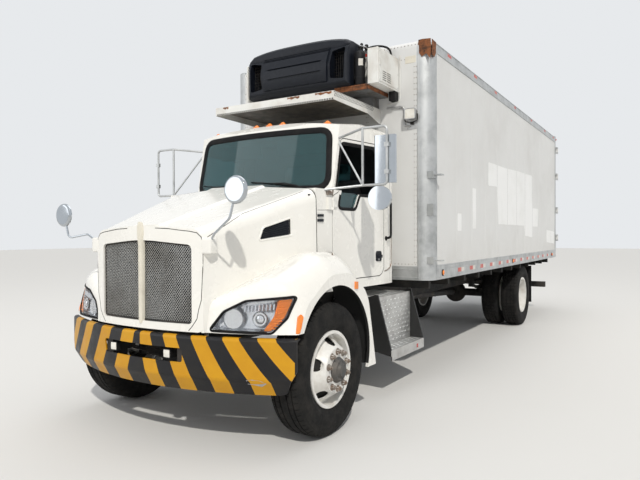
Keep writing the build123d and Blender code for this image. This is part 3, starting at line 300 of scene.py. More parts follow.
def glass(name, tint, rough, see, bend=1.45):
    mat, tree, shader = new_material(name)
    feed(shader, "Base Color", (*tint, 1))
    feed(shader, "Transmission Weight", see)
    gloss = ramp(tree, noise(tree, object_coords(tree), 3.0), 0.3, 0.7, rough, rough + 0.04)
    feed(shader, "Roughness", gloss)
    feed(shader, "IOR", bend)
    return mat


window_glass = glass("window_glass", (0.1, 0.25, 0.27), 0.02, 0.8)
clear_lens = glass("clear_lens", (0.98, 0.98, 0.98), 0.01, 1.0, 1.15)
amber_lens = finish("amber_lens", (0.85, 0.24, 0.03), (0.75, 0.19, 0.02), 30, (0.12, 0.25), coat=0.6)
red_lens = finish("red_lens", (0.5, 0.02, 0.015), (0.38, 0.015, 0.01), 30, (0.12, 0.25), coat=0.6)
chrome = finish("chrome", (0.78, 0.79, 0.8), (0.68, 0.69, 0.7), 6, (0.05, 0.14), metal=1.0)
steel = finish("steel", (0.5, 0.5, 0.5), (0.36, 0.35, 0.34), 12, (0.3, 0.5), metal=0.9, relief=0.0003)


def striped(name):
    """Black and yellow diagonal stripes that lean apart from the middle, with worn paint."""
    mat, tree, shader = new_material(name)
    vector = object_coords(tree)
    across = axis_value(tree, vector, "X")
    high = axis_value(tree, vector, "Z")
    x = math_node(tree, "ABSOLUTE", across)
    left = math_node(tree, "GREATER_THAN", across, 0.0)
    lean = ramp(tree, x, 0.0, 1.2, 0.22, 0.8)
    drop = math_node(tree, "SUBTRACT", 0.8, high)
    shift = math_node(tree, "MULTIPLY", math_node(tree, "MINIMUM", drop, 0.27), lean)
    offset = ramp(tree, left, 0.0, 1.0, 0.07, -0.01)
    place = math_node(tree, "SUBTRACT", math_node(tree, "SUBTRACT", x, offset), shift)
    pitch = ramp(tree, left, 0.0, 1.0, 0.296, 0.248)
    wave = math_node(tree, "FRACT", math_node(tree, "DIVIDE", place, pitch))
    inner = math_node(tree, "LESS_THAN", x, 1.204)
    edge = math_node(tree, "MULTIPLY", math_node(tree, "LESS_THAN", wave, 0.49), inner)
    yellow = mixed(tree, ramp(tree, noise(tree, vector, 5.0), 0.4, 0.8), (0.6, 0.3, 0.01), (0.52, 0.24, 0.01))
    black = mixed(tree, ramp(tree, noise(tree, vector, 6.0), 0.4, 0.8), (0.01, 0.01, 0.012),
                  (0.02, 0.018, 0.016))
    colour = mixed(tree, edge, black, yellow)
    feed(shader, "Base Color", colour)
    feed(shader, "Roughness", ramp(tree, noise(tree, vector, 14.0), 0.3, 0.7, 0.32, 0.5))
    feed(shader, "Specular IOR Level", 0.3)
    bump(tree, shader, noise(tree, vector, 12.0), 0.001)
    return mat


hazard = striped("hazard")
rusty_steel = finish("rusty_steel", (0.3, 0.27, 0.24), (0.22, 0.13, 0.08), 25, (0.5, 0.75), metal=0.6,
                     relief=0.0008)
wire_silver = finish("wire_silver", (0.5, 0.5, 0.49), (0.34, 0.33, 0.31), 3, (0.25, 0.4), metal=0.9)
lamp_white = finish("lamp_white", (0.8, 0.78, 0.72), (0.7, 0.66, 0.58), 20, (0.25, 0.4))
seam_dark = finish("seam_dark", (0.02, 0.019, 0.018), (0.04, 0.036, 0.032), 20, (0.7, 0.85), gloss=0.2)
shade_black = finish("shade_black", (0.003, 0.003, 0.003), (0.006, 0.006, 0.006), 20, (0.8, 0.9), gloss=0.1)
seat_cloth = finish("seat_cloth", (0.11, 0.11, 0.12), (0.15, 0.145, 0.14), 30, (0.8, 0.95), relief=0.0008,
                    relief_scale=400)
tape_red = finish("tape_red", (0.5, 0.05, 0.035), (0.62, 0.18, 0.12), 9, (0.3, 0.45), coat=0.3)
tape_white = finish("tape_white", (0.72, 0.7, 0.66), (0.58, 0.54, 0.48), 9, (0.3, 0.45), coat=0.3)
lamp_silver = finish("lamp_silver", (0.74, 0.76, 0.79), (0.62, 0.64, 0.67), 14, (0.16, 0.26), metal=0.75)
mirror_glass = finish("mirror_glass", (0.5, 0.53, 0.56), (0.46, 0.49, 0.52), 3, (0.03, 0.06), metal=1.0)
step_paint = blacken_ends(finish("step_paint", (0.56, 0.56, 0.55), (0.42, 0.41, 0.4), 7, (0.3, 0.5),
                                 metal=0.75))
box_patch = finish("box_patch", (0.86, 0.86, 0.85), (0.78, 0.78, 0.76), 2, (0.3, 0.45))


# The frame's pieces by the material that each takes
NODE_MATERIALS = (
    (cab_lining_and_shade, "cab_shell cab_roof door_left door_right"),
    (hood_lining_and_shade, "hood"),
    (cab_white, "grille_surround"),
    (box_white, "box_wall_left box_wall_right box_roof box_front_wall rear_door_left rear_door_right"),
    (hazard, "bumper"),
    (aluminium, "box_rails corner_posts box_rear_frame corner_steps fuel_tank mirror_frames"),
    (step_paint, "step_box"),
    (chassis_black, "air_tanks frame_rails frame_horns front_axle knuckle_left knuckle_right tie_rod"),
    (chassis_black, "leaf_springs rear_axle radiator underride_guard box_floor"),
    (engine_grey, "engine_block"),
    (wheel_white, "wheel_front_left wheel_front_right wheels_rear_left wheels_rear_right"),
    (wheel_white, "rims_rear_left rims_rear_right"),
    (dusty_tyre, "tyre_front_left tyre_front_right tyres_rear_left tyres_rear_right"),
    (window_glass, "windshield cab_rear_window door_glass_left door_glass_right"),
    (chrome, "headlamps"),
    (amber_lens, "roof_lamps"),
    (steel, "grille"),
    (mirror_glass, "hood_mirrors mirror_heads"),
    (interior_grey, "dashboard seats"),
    (black_plastic, "unit_shroud"),
    (machinery, "unit_base"),
    (unit_white, "control_box"),
    (platform_paint, "platform"),
    (rubber, "mudflaps"),
)
for mat, names in NODE_MATERIALS:
    for name in names.split():
        nodes[name].data.materials.clear()
        nodes[name].data.materials.append(mat)


# Surfaces of the frame that pieces are laid on
def skin(*names):
    """Search tree over the faces of these nodes."""
    verts, faces = [], []
    for name in names:
        base = len(verts)
        mesh = nodes[name].data
        verts += [v.co.copy() for v in mesh.vertices]
        faces += [[base + i for i in p.vertices] for p in mesh.polygons]
    return BVHTree.FromPolygons(verts, faces)


def laid(tree, points, way):
    """Points moved along a direction onto a surface, and the normals there that face against it."""
    way = Vector(way)
    places, normals = [], []
    for p in points:
        hit, normal, _, _ = tree.ray_cast(Vector(p), way)
        if hit is None:
            hit, normal, _, _ = tree.find_nearest(Vector(p))
        places.append(hit)
        normals.append(normal if normal.dot(way) < 0 else -normal)
    before = normals[:1] + normals[:-1]
    after = normals[1:] + normals[-1:]
    soft = [(a + n + c).normalized() for a, n, c in zip(before, normals, after)]
    return places, soft


FIRST_REACH = 6.0


def seen(tree, pixels):
    """Where the camera's rays through these pixels of the picture meet a surface, or pass nearest to it."""
    places, normals = [], []
    reach = FIRST_REACH
    for px, py in pixels:
        across = RIGHT * (px - PICTURE_WIDTH / 2)
        down = UP * (py - PICTURE_HEIGHT / 2)
        ray = (across - down + FORWARD * FOCAL).normalized()
        hit, normal, _, far = tree.ray_cast(EYE, ray)
        if hit is None:
            hit, normal, _, _ = tree.find_nearest(EYE + ray * reach)
        else:
            reach = far
        places.append(hit)
        normals.append(normal if normal.dot(ray) < 0 else -normal)
    return places, normals


def softened(points, radius, closed=False, steps=5):
    """A path whose corners are rounded. The radius is one number, or one for each point."""
    out = []
    count = len(points)
    for i, p in enumerate(points):
        p = Vector(p)
        before = Vector(points[i - 1]) - p
        after = Vector(points[(i + 1) % count]) - p
        r = radius[i] if isinstance(radius, (list, tuple)) else radius
        if (not closed and i in (0, count - 1)) or r == 0 or before.angle(after) > 3.1:
            out.append(p)
            continue
        cut = min(r / math.tan(before.angle(after) / 2), before.length * 0.48, after.length * 0.48)
        a = p + before.normalized() * cut
        b = p + after.normalized() * cut
        for k in range(steps + 1):
            t = k / steps
            out.append(a * (1 - t) ** 2 + p * 2 * t * (1 - t) + b * t ** 2)
    return out


def divided(points, pitch):
    """The same closed path with points no further apart than the pitch."""
    out = []
    for a, b in zip(points, points[1:] + points[:1]):
        steps = max(1, math.ceil((b - a).length / pitch))
        out += [a.lerp(b, k / steps) for k in range(steps)]
    return out


def middle_of(path):
    return sum(path, Vector((0, 0, 0))) / len(path)


def outline(rows, pitch=0.0):
    """Closed rounded outline from rows (u, v, corner radius), as vectors (u, v, 0)."""
    path = softened([(u, v, 0) for u, v, r in rows], [r for u, v, r in rows], True)
    return divided(path, pitch) if pitch else path


def rounded(u0, u1, v0, v1, radius, pitch=0.0):
    """Rectangle with round corners, as vectors (u, v, 0)."""
    return outline([(u0, v0, radius), (u1, v0, radius), (u1, v1, radius), (u0, v1, radius)], pitch)


def both_halves(rows):
    """Rows of the right half from the bottom up, completed to a symmetrical outline."""
    return list(rows) + [(-u, v, r) for u, v, r in reversed(rows) if u != 0]


def grown(path, amount):
    """A closed flat outline moved outward."""
    count = len(path)
    area = sum(path[i - 1].x * path[i].y - path[i].x * path[i - 1].y for i in range(count))
    sign = 1 if area > 0 else -1
    out = []
    for i, p in enumerate(path):
        along = (path[(i + 1) % count] - path[i - 1]).normalized()
        out.append(p + Vector((along.y, -along.x, 0)) * amount * sign)
    return out


class Build:
    """Vertices and faces of one piece. paint is the number of the material that new faces take."""

    def __init__(self, name, *mats):
        self.name = name
        self.mats = mats
        self.verts = []
        self.faces = []
        self.paints = []
        self.paint = 0

    def add(self, verts, faces):
        base = len(self.verts)
        self.verts += [Vector(v) for v in verts]
        self.faces += [[base + i for i in face] for face in faces]
        self.paints += [self.paint] * len(faces)

    def loft(self, loops, closed=False, cap=True, open_loop=False):
        """Skin over loops of equal length, capped at its ends unless it is closed."""
        n = len(loops[0])
        faces = []
        for k in range(len(loops) if closed else len(loops) - 1):
            a = k * n
            b = (k + 1) % len(loops) * n
            for i in range(n - 1 if open_loop else n):
                j = (i + 1) % n
                faces.append((a + i, a + j, b + j, b + i))
        if cap and not closed:
            faces.append(tuple(range(n - 1, -1, -1)))
            faces.append(tuple(range((len(loops) - 1) * n, len(loops) * n)))
        self.add([v for loop in loops for v in loop], faces)

    def prism(self, path, move):
        self.loft([[Vector(p) for p in path], [Vector(p) + Vector(move) for p in path]])

    def block(self, x0, x1, y0, y1, z0, z1):
        self.prism([at(x0, y0, z0), at(x1, y0, z0), at(x1, y1, z0), at(x0, y1, z0)], (0, 0, z1 - z0))

    def front_plate(self, x0, x1, y, z0, z1, thick):
        """Upright plate across the vehicle, thickened forward."""
        self.prism([at(x, y, z) for x, z in ((x0, z0), (x1, z0), (x1, z1), (x0, z1))], (0, -thick, 0))

    def side_plate(self, x, y0, y1, z0, z1, thick):
        """Upright plate along the vehicle, thickened to the left."""
        self.prism([at(x, y, z) for y, z in ((y0, z0), (y1, z0), (y1, z1), (y0, z1))], (thick, 0, 0))

    def tube(self, points, radius, sides, bend=0.0):
        path = softened(points, bend) if bend else [Vector(p) for p in points]
        last = len(path) - 1
        turns = [math.tau * k / sides for k in range(sides)]
        loops = []
        side = None
        for i, p in enumerate(path):
            along = (path[min(i + 1, last)] - path[max(i - 1, 0)]).normalized()
            side = side or along.orthogonal()
            side = (side - along * side.dot(along)).normalized()
            up = along.cross(side)
            loops.append([p + (side * math.cos(t) + up * math.sin(t)) * radius for t in turns])
        self.loft(loops)

    def ribbon(self, points, normals, half_width, height, closed=False, sunk=0.002):
        """Low rounded strip along a path that lies on a surface."""
        count = len(points)
        loops = []
        for i, p in enumerate(points):
            if closed:
                along = points[(i + 1) % count] - points[i - 1]
            else:
                along = points[min(i + 1, count - 1)] - points[max(i - 1, 0)]
            n = normals[i] if isinstance(normals, list) else Vector(normals)
            side = along.cross(n).normalized()
            section = ((-1, -sunk), (-1, height * 0.45), (-0.62, height), (0.62, height), (1, height * 0.45),
                       (1, -sunk))
            loops.append([p + side * half_width * u + n * v for u, v in section])
        self.loft(loops, closed)

    def lathe(self, centre, axis, rows, steps, closed=False):
        """Surface of revolution from rows (distance along the axis, radius)."""
        axis = Vector(axis).normalized()
        side = axis.orthogonal().normalized()
        up = axis.cross(side)
        turns = [math.tau * k / steps for k in range(steps)]
        loops = []
        for along, radius in rows:
            radius = max(radius, 0.0002)
            loops.append([centre + axis * along + (side * math.cos(t) + up * math.sin(t)) * radius
                          for t in turns])
        self.loft(loops, closed, cap=not closed)

    def dome(self, place, normal, radius, height, sides=6):
        rows = ((-0.001, radius), (height * 0.6, radius * 0.8), (height, radius * 0.3))
        self.lathe(place, normal, rows, sides)

    def rivets(self, place, step, count, normal, radius=0.0055, height=0.003):
        """Row of domes from place on, each one step further."""
        for k in range(count):
            self.dome(at(*(p + d * k for p, d in zip(place, step))), normal, radius, height)

    def patch(self, path, tree, way, lift, rings):
        """Sheet laid on a surface inside a closed path, raised by lift."""
        middle = middle_of(path)
        loops = []
        for k in range(rings):
            share = 1 - k / rings
            places, normals = laid(tree, [middle + (p - middle) * share for p in path], way)
            loops.append([p + n * lift for p, n in zip(places, normals)])
        places, normals = laid(tree, [middle], way)
        loops.append([places[0] + normals[0] * lift + (p - loops[-1][0]) * 0.001 for p in loops[-1]])
        self.loft(loops, cap=False)

    def mirror(self):
        """The same faces again on the other side of the vehicle."""
        base = len(self.verts)
        self.verts += [Vector((-v.x, v.y, v.z)) for v in self.verts]
        self.faces += [[base + i for i in reversed(face)] for face in self.faces]
        self.paints += self.paints

    def done(self, body, bevel=0.0, angle=38, whole=True):
        mesh = bpy.data.meshes.new(self.name)
        mesh.from_pydata(self.verts, [], self.faces)
        for mat in self.mats:
            mesh.materials.append(mat)
        mesh.polygons.foreach_set("material_index", self.paints)
        if whole:
            bm = bmesh.new()
            bm.from_mesh(mesh)
            bmesh.ops.recalc_face_normals(bm, faces=bm.faces)
            bm.to_mesh(mesh)
            bm.free()
        mesh.shade_smooth()
        mesh.set_sharp_from_angle(angle=math.radians(angle))
        obj = new_object(self.name, mesh)
        if bevel:
            edge = obj.modifiers.new("edge", "BEVEL")
            edge.width = bevel
            edge.segments = 2
            edge.limit_method = "ANGLE"
            edge.angle_limit = math.radians(40)
        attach(obj, body)
        return obj


# Tyres with grooved tread and ridged side walls
TYRE_RADIUS = 0.515
SIDE_WALL = (
    (0.1045, 0.2870), (0.1045, 0.3000), (0.1120, 0.3050), (0.1150, 0.3120), (0.1240, 0.3260),
    (0.1325, 0.3480), (0.1345, 0.3500), (0.1380, 0.3720), (0.1398, 0.3950), (0.1400, 0.4100),
    (0.1392, 0.4250), (0.1372, 0.4420), (0.1350, 0.4440), (0.1315, 0.4620), (0.1290, 0.4760),
    (0.1262, 0.4780), (0.1225, 0.4900), (0.1160, 0.4990),
)
GROOVES = (0.032, 0.078)
GROOVE_FLOOR = 0.503


def tyre_rows():
    """The right half from the crown: rows (distance from the middle plane, radius, depth of a cross cut)."""
    tread = [(0.0, 0.5150, 0.0)]
    for place in GROOVES:
        tread += [(place - 0.006, 0.5145, 0.0), (place - 0.004, GROOVE_FLOOR, 0.0)]
        tread += [(place + 0.004, GROOVE_FLOOR, 0.0), (place + 0.006, 0.5140, 0.006)]
    tread += [(0.1060, 0.5070, 0.009)]
    return tread + [(x, r, 0.004 if r > 0.49 else 0.0) for x, r in reversed(SIDE_WALL)]


def tyre(b, x, y, blocks, lugs):
    """One tyre. The cross cuts in the tread are deeper where it has lugs."""
    right = tyre_rows()
    rows = [(-u, r, c) for u, r, c in reversed(right[1:])] + right
    loops = []
    for k in range(blocks):
        for share, cut in ((0.0, 0), (0.04, 1), (0.13, 1), (0.17, 0)):
            turn = math.tau * (k + share) / blocks
            ring = []
            for u, r, c in rows:
                depth = (c + (0.008 if lugs and abs(u) < 0.1 and r > 0.51 else 0.0)) * cut
                ring.append(at(x + u, y + (r - depth) * math.sin(turn),
                               TYRE_RADIUS + (r - depth) * math.cos(turn)))
            loops.append(ring)
    b.loft(loops, closed=True)


# Tyres of both axles: node, body, y, distances from the middle of the vehicle, blocks round the tread, lugs
TYRES = (
    ("tyre_front_", "tyre_tread_front_", "front_wheel_", 0, (1.048,), 60, False),
    ("tyres_rear_", "tyre_tread_rear_", "rear_wheels_", REAR_AXLE, (1.067, 0.737), 56, True),
)


def add_tyres():
    for side, sign in SIDES:
        for node, name, body, y, places, blocks, lugs in TYRES:
            b = Build(name + side, dusty_tyre)
            for x in places:
                tyre(b, sign * x, y, blocks, lugs)
            piece = b.done(body + side, angle=30)
            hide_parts(node + side)


# Nuts, studs and hub covers. The covers are rows (distance out from the wheel's face, radius)
FRONT_COVER = ((0.0, 0.0985), (0.006, 0.0985), (0.008, 0.0965), (0.029, 0.0855), (0.035, 0.078),
               (0.035, 0.0605), (0.038, 0.0585), (0.048, 0.049), (0.0525, 0.047), (0.0525, 0.0))
REAR_COVER = ((-0.002, 0.0985), (0.010, 0.0985), (0.014, 0.0955), (0.116, 0.0845), (0.119, 0.080),
              (0.119, 0.067), (0.131, 0.0615), (0.134, 0.056), (0.134, 0.0))
COVER_BOLTS = 8
WHEEL_NUTS = 10
NUT_CIRCLE = 0.1429
DRUM_FACE = 1.066
# Each hub: name, body, y, the wheel face's distance from the middle, cover, radius of the cover's bolt circle
HUBS = (
    ("front", "front_wheel_", 0, 1.213, FRONT_COVER, 0.0695),
    ("rear", "rear_wheels_", REAR_AXLE, 0.914, REAR_COVER, 0.074),
)


def around(sign, out, reach, turn):
    """Step from a wheel's middle: outward, and round its axis."""
    return Vector((sign * out, reach * math.sin(turn), reach * math.cos(turn)))


def add_hub_trim():
    for side, sign in SIDES:
        for name, body, y, face, cover, reach in HUBS:
            b = Build(f"hub_trim_{name}_{side}", engine_grey, rusty_steel, seam_dark)
            centre = at(sign * face, y, TYRE_RADIUS)
            axis = Vector((sign, 0, 0))
            b.lathe(centre, axis, cover, 48)
            for k in range(COVER_BOLTS):
                spot = centre + around(sign, cover[4][0] - 0.002, reach, math.tau * (k + 0.5) / COVER_BOLTS)
                b.lathe(spot - axis * 0.012, axis, ((0, 0.008), (0.016, 0.008), (0.018, 0.005)), 6)
            b.paint = 1
            for k in range(WHEEL_NUTS):
                spot = centre + around(sign, 0, NUT_CIRCLE, math.tau * k / WHEEL_NUTS)
                b.lathe(spot, axis, ((-0.002, 0.0265), (0.004, 0.0265), (0.006, 0.0245)), 20)
                b.lathe(spot, axis, ((0.003, 0.0202), (0.024, 0.0202), (0.0275, 0.0165)), 6)
                b.lathe(spot, axis, ((0.02, 0.0095), (0.036, 0.0095), (0.038, 0.0075)), 10)
            if name == "front":
                b.paint = 2
                drum = at(sign * DRUM_FACE, y, TYRE_RADIUS)
                rows = ((0.0, 0.12), (0.0, 0.232), (-0.006, 0.238), (-0.10, 0.238), (-0.10, 0.22),
                        (-0.012, 0.218), (-0.012, 0.12))
                b.lathe(drum, axis, rows, 40, True)
                b.lathe(drum, axis, ((0.120, 0.166), (0.0, 0.239), (-0.004, 0.236), (0.116, 0.163)), 40, True)
            b.done(body + side, angle=30)


# Wire grille in its frame, with the middle bar and its plain boss
GRILLE = both_halves([(0.479, 0.919, 0.03), (0.479, 1.488, 0.04), (0.0, 1.529, 2.0)])
GRILLE_MIDDLE = 1.2
WIRE_LEAN = math.radians(40)
WIRE_PITCH = 0.0205
WIRE_HALF = 0.0023
WIRE_DEPTH = 0.003
# The middle bar as rows (height, half width)
GRILLE_BAR = ((0.9, 0.012), (0.925, 0.023), (1.3, 0.025), (1.49, 0.026), (1.535, 0.030), (1.575, 0.036),
              (1.625, 0.034), (1.655, 0.022), (1.662, 0.006))
SURROUND_FRONT = -0.860
SURROUND_RADIUS = 2.8


def front_y(x, inset=0.0):
    """The grille surround's curved front, moved back by inset."""
    return SURROUND_FRONT + SURROUND_RADIUS - math.sqrt((SURROUND_RADIUS - inset) ** 2 - x * x)


def span_inside(path, foot, way):
    """The stretch of a line that lies inside a closed convex outline."""
    low, high = -9.0, 9.0
    middle = middle_of(path)
    for i, p in enumerate(path):
        edge = p - path[i - 1]
        inward = Vector((-edge.y, edge.x, 0))
        if inward.dot(middle - p) < 0:
            inward = -inward
        rise = inward.dot(way)
        gap = inward.dot(p - foot)
        if abs(rise) < 1e-9:
            continue
        if rise > 0:
            low = max(low, gap / rise)
        else:
            high = min(high, gap / rise)
    return low, high


def add_grille():
    b = Build("grille_wires", wire_silver)
    path = outline(GRILLE)
    ahead = Vector((0, -WIRE_DEPTH, 0))
    for sign in (-1, 1):
        way = Vector((sign * math.sin(WIRE_LEAN), math.cos(WIRE_LEAN), 0))
        side = Vector((way.y, 0, -way.x)) * WIRE_HALF
        inset = 0.021 if sign > 0 else 0.025
        for k in range(-52, 53):
            foot = Vector((k * WIRE_PITCH, GRILLE_MIDDLE, 0))
            low, high = span_inside(path, foot, way)
            if high - low < 0.01:
                continue
            run = [foot + way * (low + (high - low) * i / 6) for i in range(7)]
            points = [at(p.x, front_y(p.x, inset), p.y) for p in run]
            b.loft([[p - side, p - side * 0.4 + ahead, p + side * 0.4 + ahead, p + side] for p in points],
                   cap=False)
    b.done("hood", whole=False, angle=60)

    b = Build("grille_frame", chassis_black, cream_white)
    rim = [at(p.x, front_y(p.x, 0.022), p.y) for p in divided(grown(path, -0.006), 0.05)]
    b.ribbon(rim, AHEAD, 0.007, 0.006, True, 0.02)
    b.paint = 1
    loops = []
    for z, half in GRILLE_BAR:
        proud = 0.018 if z < 1.53 else 0.022
        back = 0.01 if z < 1.6 else -0.01
        section = ((-1, back), (-1, -proud * 0.4), (-0.7, -proud), (0, -proud - 0.004), (0.7, -proud),
                   (1, -proud * 0.4), (1, back))
        loops.append([at(u * half, front_y(0) + v + 0.01, z) for u, v in section])
    b.loft(loops)
    piece = b.done("hood")
    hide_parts("grille")


# Headlamps: seal, bright bowl, two reflectors, amber strip and clear lens. Outlines are rows (x, z, radius)
HEADLAMP = [(0.606, 0.880, 0.014), (0.700, 1.010, 0.060), (0.850, 1.088, 0.120), (1.152, 1.118, 0.012),
            (1.122, 0.975, 0.040), (1.045, 0.874, 0.040)]
INDICATOR = [(1.062, 1.098, 0.01), (1.140, 1.106, 0.01), (1.112, 0.985, 0.04), (1.032, 0.888, 0.02),
             (0.985, 0.886, 0.01), (1.045, 0.985, 0.12)]
LAMP_MIDDLE = Vector((0.9, 0.99, 0))
REFLECTOR_DEPTH = 0.062
# The two reflectors as rows (x, z, radius, depth of the dish)
REFLECTORS = ((0.766, 0.962, 0.071, 0.045), (0.952, 0.964, 0.050, 0.02))


def front_view(path, y=-1.4):
    """Flat outline (x, z) stood up in front of the vehicle."""
    return [at(p.x, y, p.y) for p in path]


def add_headlamps():
    tree = skin("headlamps", "hood")
    edge = outline(HEADLAMP, 0.02)
    b = Build("headlamp_seals", rubber)
    b.ribbon(*laid(tree, front_view(grown(edge, 0.004)), BACKWARD), 0.008, 0.006, True, 0.02)
    b.mirror()
    b.done("hood")

    rim, _ = laid(tree, front_view(grown(edge, -0.006)), BACKWARD)
    centre, _ = laid(tree, front_view([LAMP_MIDDLE]), BACKWARD)
    b = Build("headlamp_bowls", lamp_silver, machinery, lamp_white)
    loops = []
    for share, depth in ((1.0, 0.012), (0.94, 0.05), (0.9, 0.062), (0.55, 0.066), (0.02, 0.066)):
        loops.append([centre[0] + (p - centre[0]) * share + Vector((-0.2, 1, 0)) * depth for p in rim])
    b.loft(loops, cap=False)
    look = Vector((0.32, -1, 0.02)).normalized()
    for x, z, radius, dish in REFLECTORS:
        spot, _ = laid(tree, front_view([Vector((x, z, 0))]), BACKWARD)
        hub = spot[0] - look * REFLECTOR_DEPTH
        rows = [(0.034, radius + 0.008), (0.040, radius + 0.004), (0.036, radius)]
        rows += [(0.036 - dish * (1 - (k / 6) ** 2), radius * k / 6) for k in (5, 4, 3, 2, 1)]
        b.paint = 0
        b.lathe(hub, look, rows + [(0.036 - dish, 0.0)], 36)
        if radius > 0.06:
            b.paint = 2
            b.lathe(hub, look, ((-0.008, 0.021), (0.022, 0.021), (0.028, 0.012), (0.028, 0.0)), 20)
        else:
            b.paint = 1
            b.lathe(hub, look, ((0.0, 0.037), (0.034, 0.035), (0.04, 0.031)), 28)
            b.paint = 0
            b.lathe(hub, look, ((0.03, 0.033), (0.041, 0.029), (0.047, 0.018), (0.049, 0.0)), 28)
    b.paint = 0
    for k in range(9):
        x = 0.83 + k * 0.024
        upper = 1.052 + (x - 0.85) * 0.1
        spots, _ = laid(tree, front_view([Vector((x, upper - 0.04, 0)), Vector((x, upper, 0))]), BACKWARD)
        b.tube([p + Vector((0, 0.04, 0)) for p in spots], 0.011, 8)
    b.mirror()
    b.done("hood", angle=30)

    b = Build("headlamp_indicators", amber_lens)
    b.patch(front_view(outline(INDICATOR, 0.03)), tree, BACKWARD, -0.012, 4)
    for k in range(12):
        z = 0.905 + k * 0.0165
        shift = 0.045 * max(0.0, (1.0 - z) / 0.11)
        ends = [Vector((1.056 - shift, z, 0)), Vector((1.108 - shift * 0.6, z, 0))]
        spots, normals = laid(tree, front_view(ends), BACKWARD)
        b.ribbon([p - n * 0.012 for p, n in zip(spots, normals)], normals, 0.005, 0.004)
    b.mirror()
    b.done("hood")

    b = Build("headlamp_lenses", clear_lens)
    b.patch(front_view(grown(edge, -0.002)), tree, BACKWARD, -0.001, 7)
    b.mirror()
    lens = b.done("hood")
    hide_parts("headlamps")


# Windshield seal, wipers, cowl strip and the black strip behind the hood
WINDSHIELD = both_halves([(0.772, 1.983, 0.115), (0.738, 2.516, 0.095)])
# Each wiper as x of its pivot, of the blade's tip and of its lower end
WIPERS = ((0.62, -0.02, 0.50), (-0.12, -0.70, -0.20))


def add_windshield_trim():
    tree = skin("windshield", "cab_shell", "cab_roof")
    b = Build("windshield_seal", rubber)
    edge = outline(WINDSHIELD, 0.06)
    b.ribbon(*laid(tree, front_view(grown(edge, 0.004), 0.1), BACKWARD), 0.028, 0.011, True, 0.01)
    b.done("chassis")

    b = Build("wipers", dark_trim)
    glass_tree = skin("windshield")
    for pivot, tip, low in WIPERS:
        blade = [Vector((low + (tip - low) * k / 8, 2.005 + 0.055 * k / 8, 0)) for k in range(9)]
        places, normals = laid(glass_tree, front_view(blade, 0.1), BACKWARD)
        b.ribbon([p + n * 0.006 for p, n in zip(places, normals)], normals, 0.005, 0.012)
        middle = places[4] + normals[4] * 0.026
        root = at(pivot, 0.44, 1.962)
        b.tube([root, root + Vector((-0.06, -0.01, 0.035)), middle + Vector((0.14, -0.012, -0.004)), middle],
               0.006, 8, 0.05)
        b.tube([places[2] + normals[2] * 0.02, middle, places[6] + normals[6] * 0.02], 0.004, 6)
        b.lathe(root - Vector((0, 0, 0.03)), (0, -0.2, 1), ((0, 0.02), (0.03, 0.018), (0.042, 0.01)), 16)
    b.done("chassis")


HOOD_REAR = both_halves([(0.875, 0.905, 0), (0.858, 1.945, 0.105), (0.330, 1.984, 0.03),
                         (0.300, 2.002, 0.03)])
SEAL_FOOT = 1.24


def add_cowl():
    run = [p for p in outline(HOOD_REAR, 0.08) if p.y > SEAL_FOOT]
    start = min(range(len(run)), key=lambda i: (round(run[i].y, 2), -run[i].x))
    run = run[start:] + run[:start]
    b = Build("hood_rear_seal", rubber)
    b.tube([at(p.x * 0.996, 0.266, p.y - 0.003) for p in run], 0.0055, 8)
    b.done("chassis")


# Side vents of the hood
VENT = [(-0.310, 1.523, 0.008), (-0.272, 1.612, 0.04), (-0.013, 1.688, 0.008), (-0.013, 1.560, 0.008)]
VENT_SLATS = 6


def side_view(path, x=1.6):
    """Flat outline (y, z) stood up at the vehicle's left side."""
    return [at(x, p.x, p.y) for p in path]


def add_vents():
    tree = skin("hood")
    b = Build("hood_vents", black_plastic)
    edge = outline(VENT, 0.03)
    b.patch(side_view(grown(edge, -0.002)), tree, INWARD, 0.001, 4)
    for k in range(VENT_SLATS):
        share = (k + 0.5) / VENT_SLATS
        y0, z0 = -0.305 + 0.02 * share, 1.523 + 0.080 * share
        y1, z1 = -0.018, 1.562 + 0.12 * share
        slat = [Vector((y0 + (y1 - y0) * t / 8, z0 + (z1 - z0) * t / 8, 0)) for t in range(9)]
        places, normals = laid(tree, side_view(slat), INWARD)
        b.ribbon(places, [(n + Vector((0, 0, -0.5))).normalized() for n in normals], 0.0035, 0.009)
    b.mirror()
    b.done("hood")
    b = Build("hood_vent_rims", cab_white)
    b.ribbon(*laid(tree, side_view(grown(edge, 0.008)), INWARD), 0.008, 0.005, True)
    b.mirror()
    b.done("hood")


# Doors: seals, handle and grab bar
DOOR = [(0.520, 1.145, 0.04), (0.520, 1.900, 0.06), (0.640, 1.950, 0.06), (0.745, 2.447, 0.06),
        (1.455, 2.455, 0.07), (1.455, 1.145, 0.11)]
DOOR_WINDOW = [(0.625, 1.800, 0.04), (0.905, 1.800, 0.06), (0.985, 1.938, 0.05), (1.360, 1.940, 0.035),
               (1.360, 2.400, 0.06), (0.760, 2.390, 0.05), (0.680, 1.970, 0.06)]


HANDLE_PLATE = [(1.285, 1.295, 0.02), (1.395, 1.295, 0.02), (1.395, 1.395, 0.03), (1.285, 1.395, 0.03)]
# The handle's grip as rows (distance out from the plate, y, z)
GRIP = ((0, 1.30, 1.338), (0.022, 1.312, 1.340), (0.024, 1.37, 1.343), (0, 1.385, 1.345))


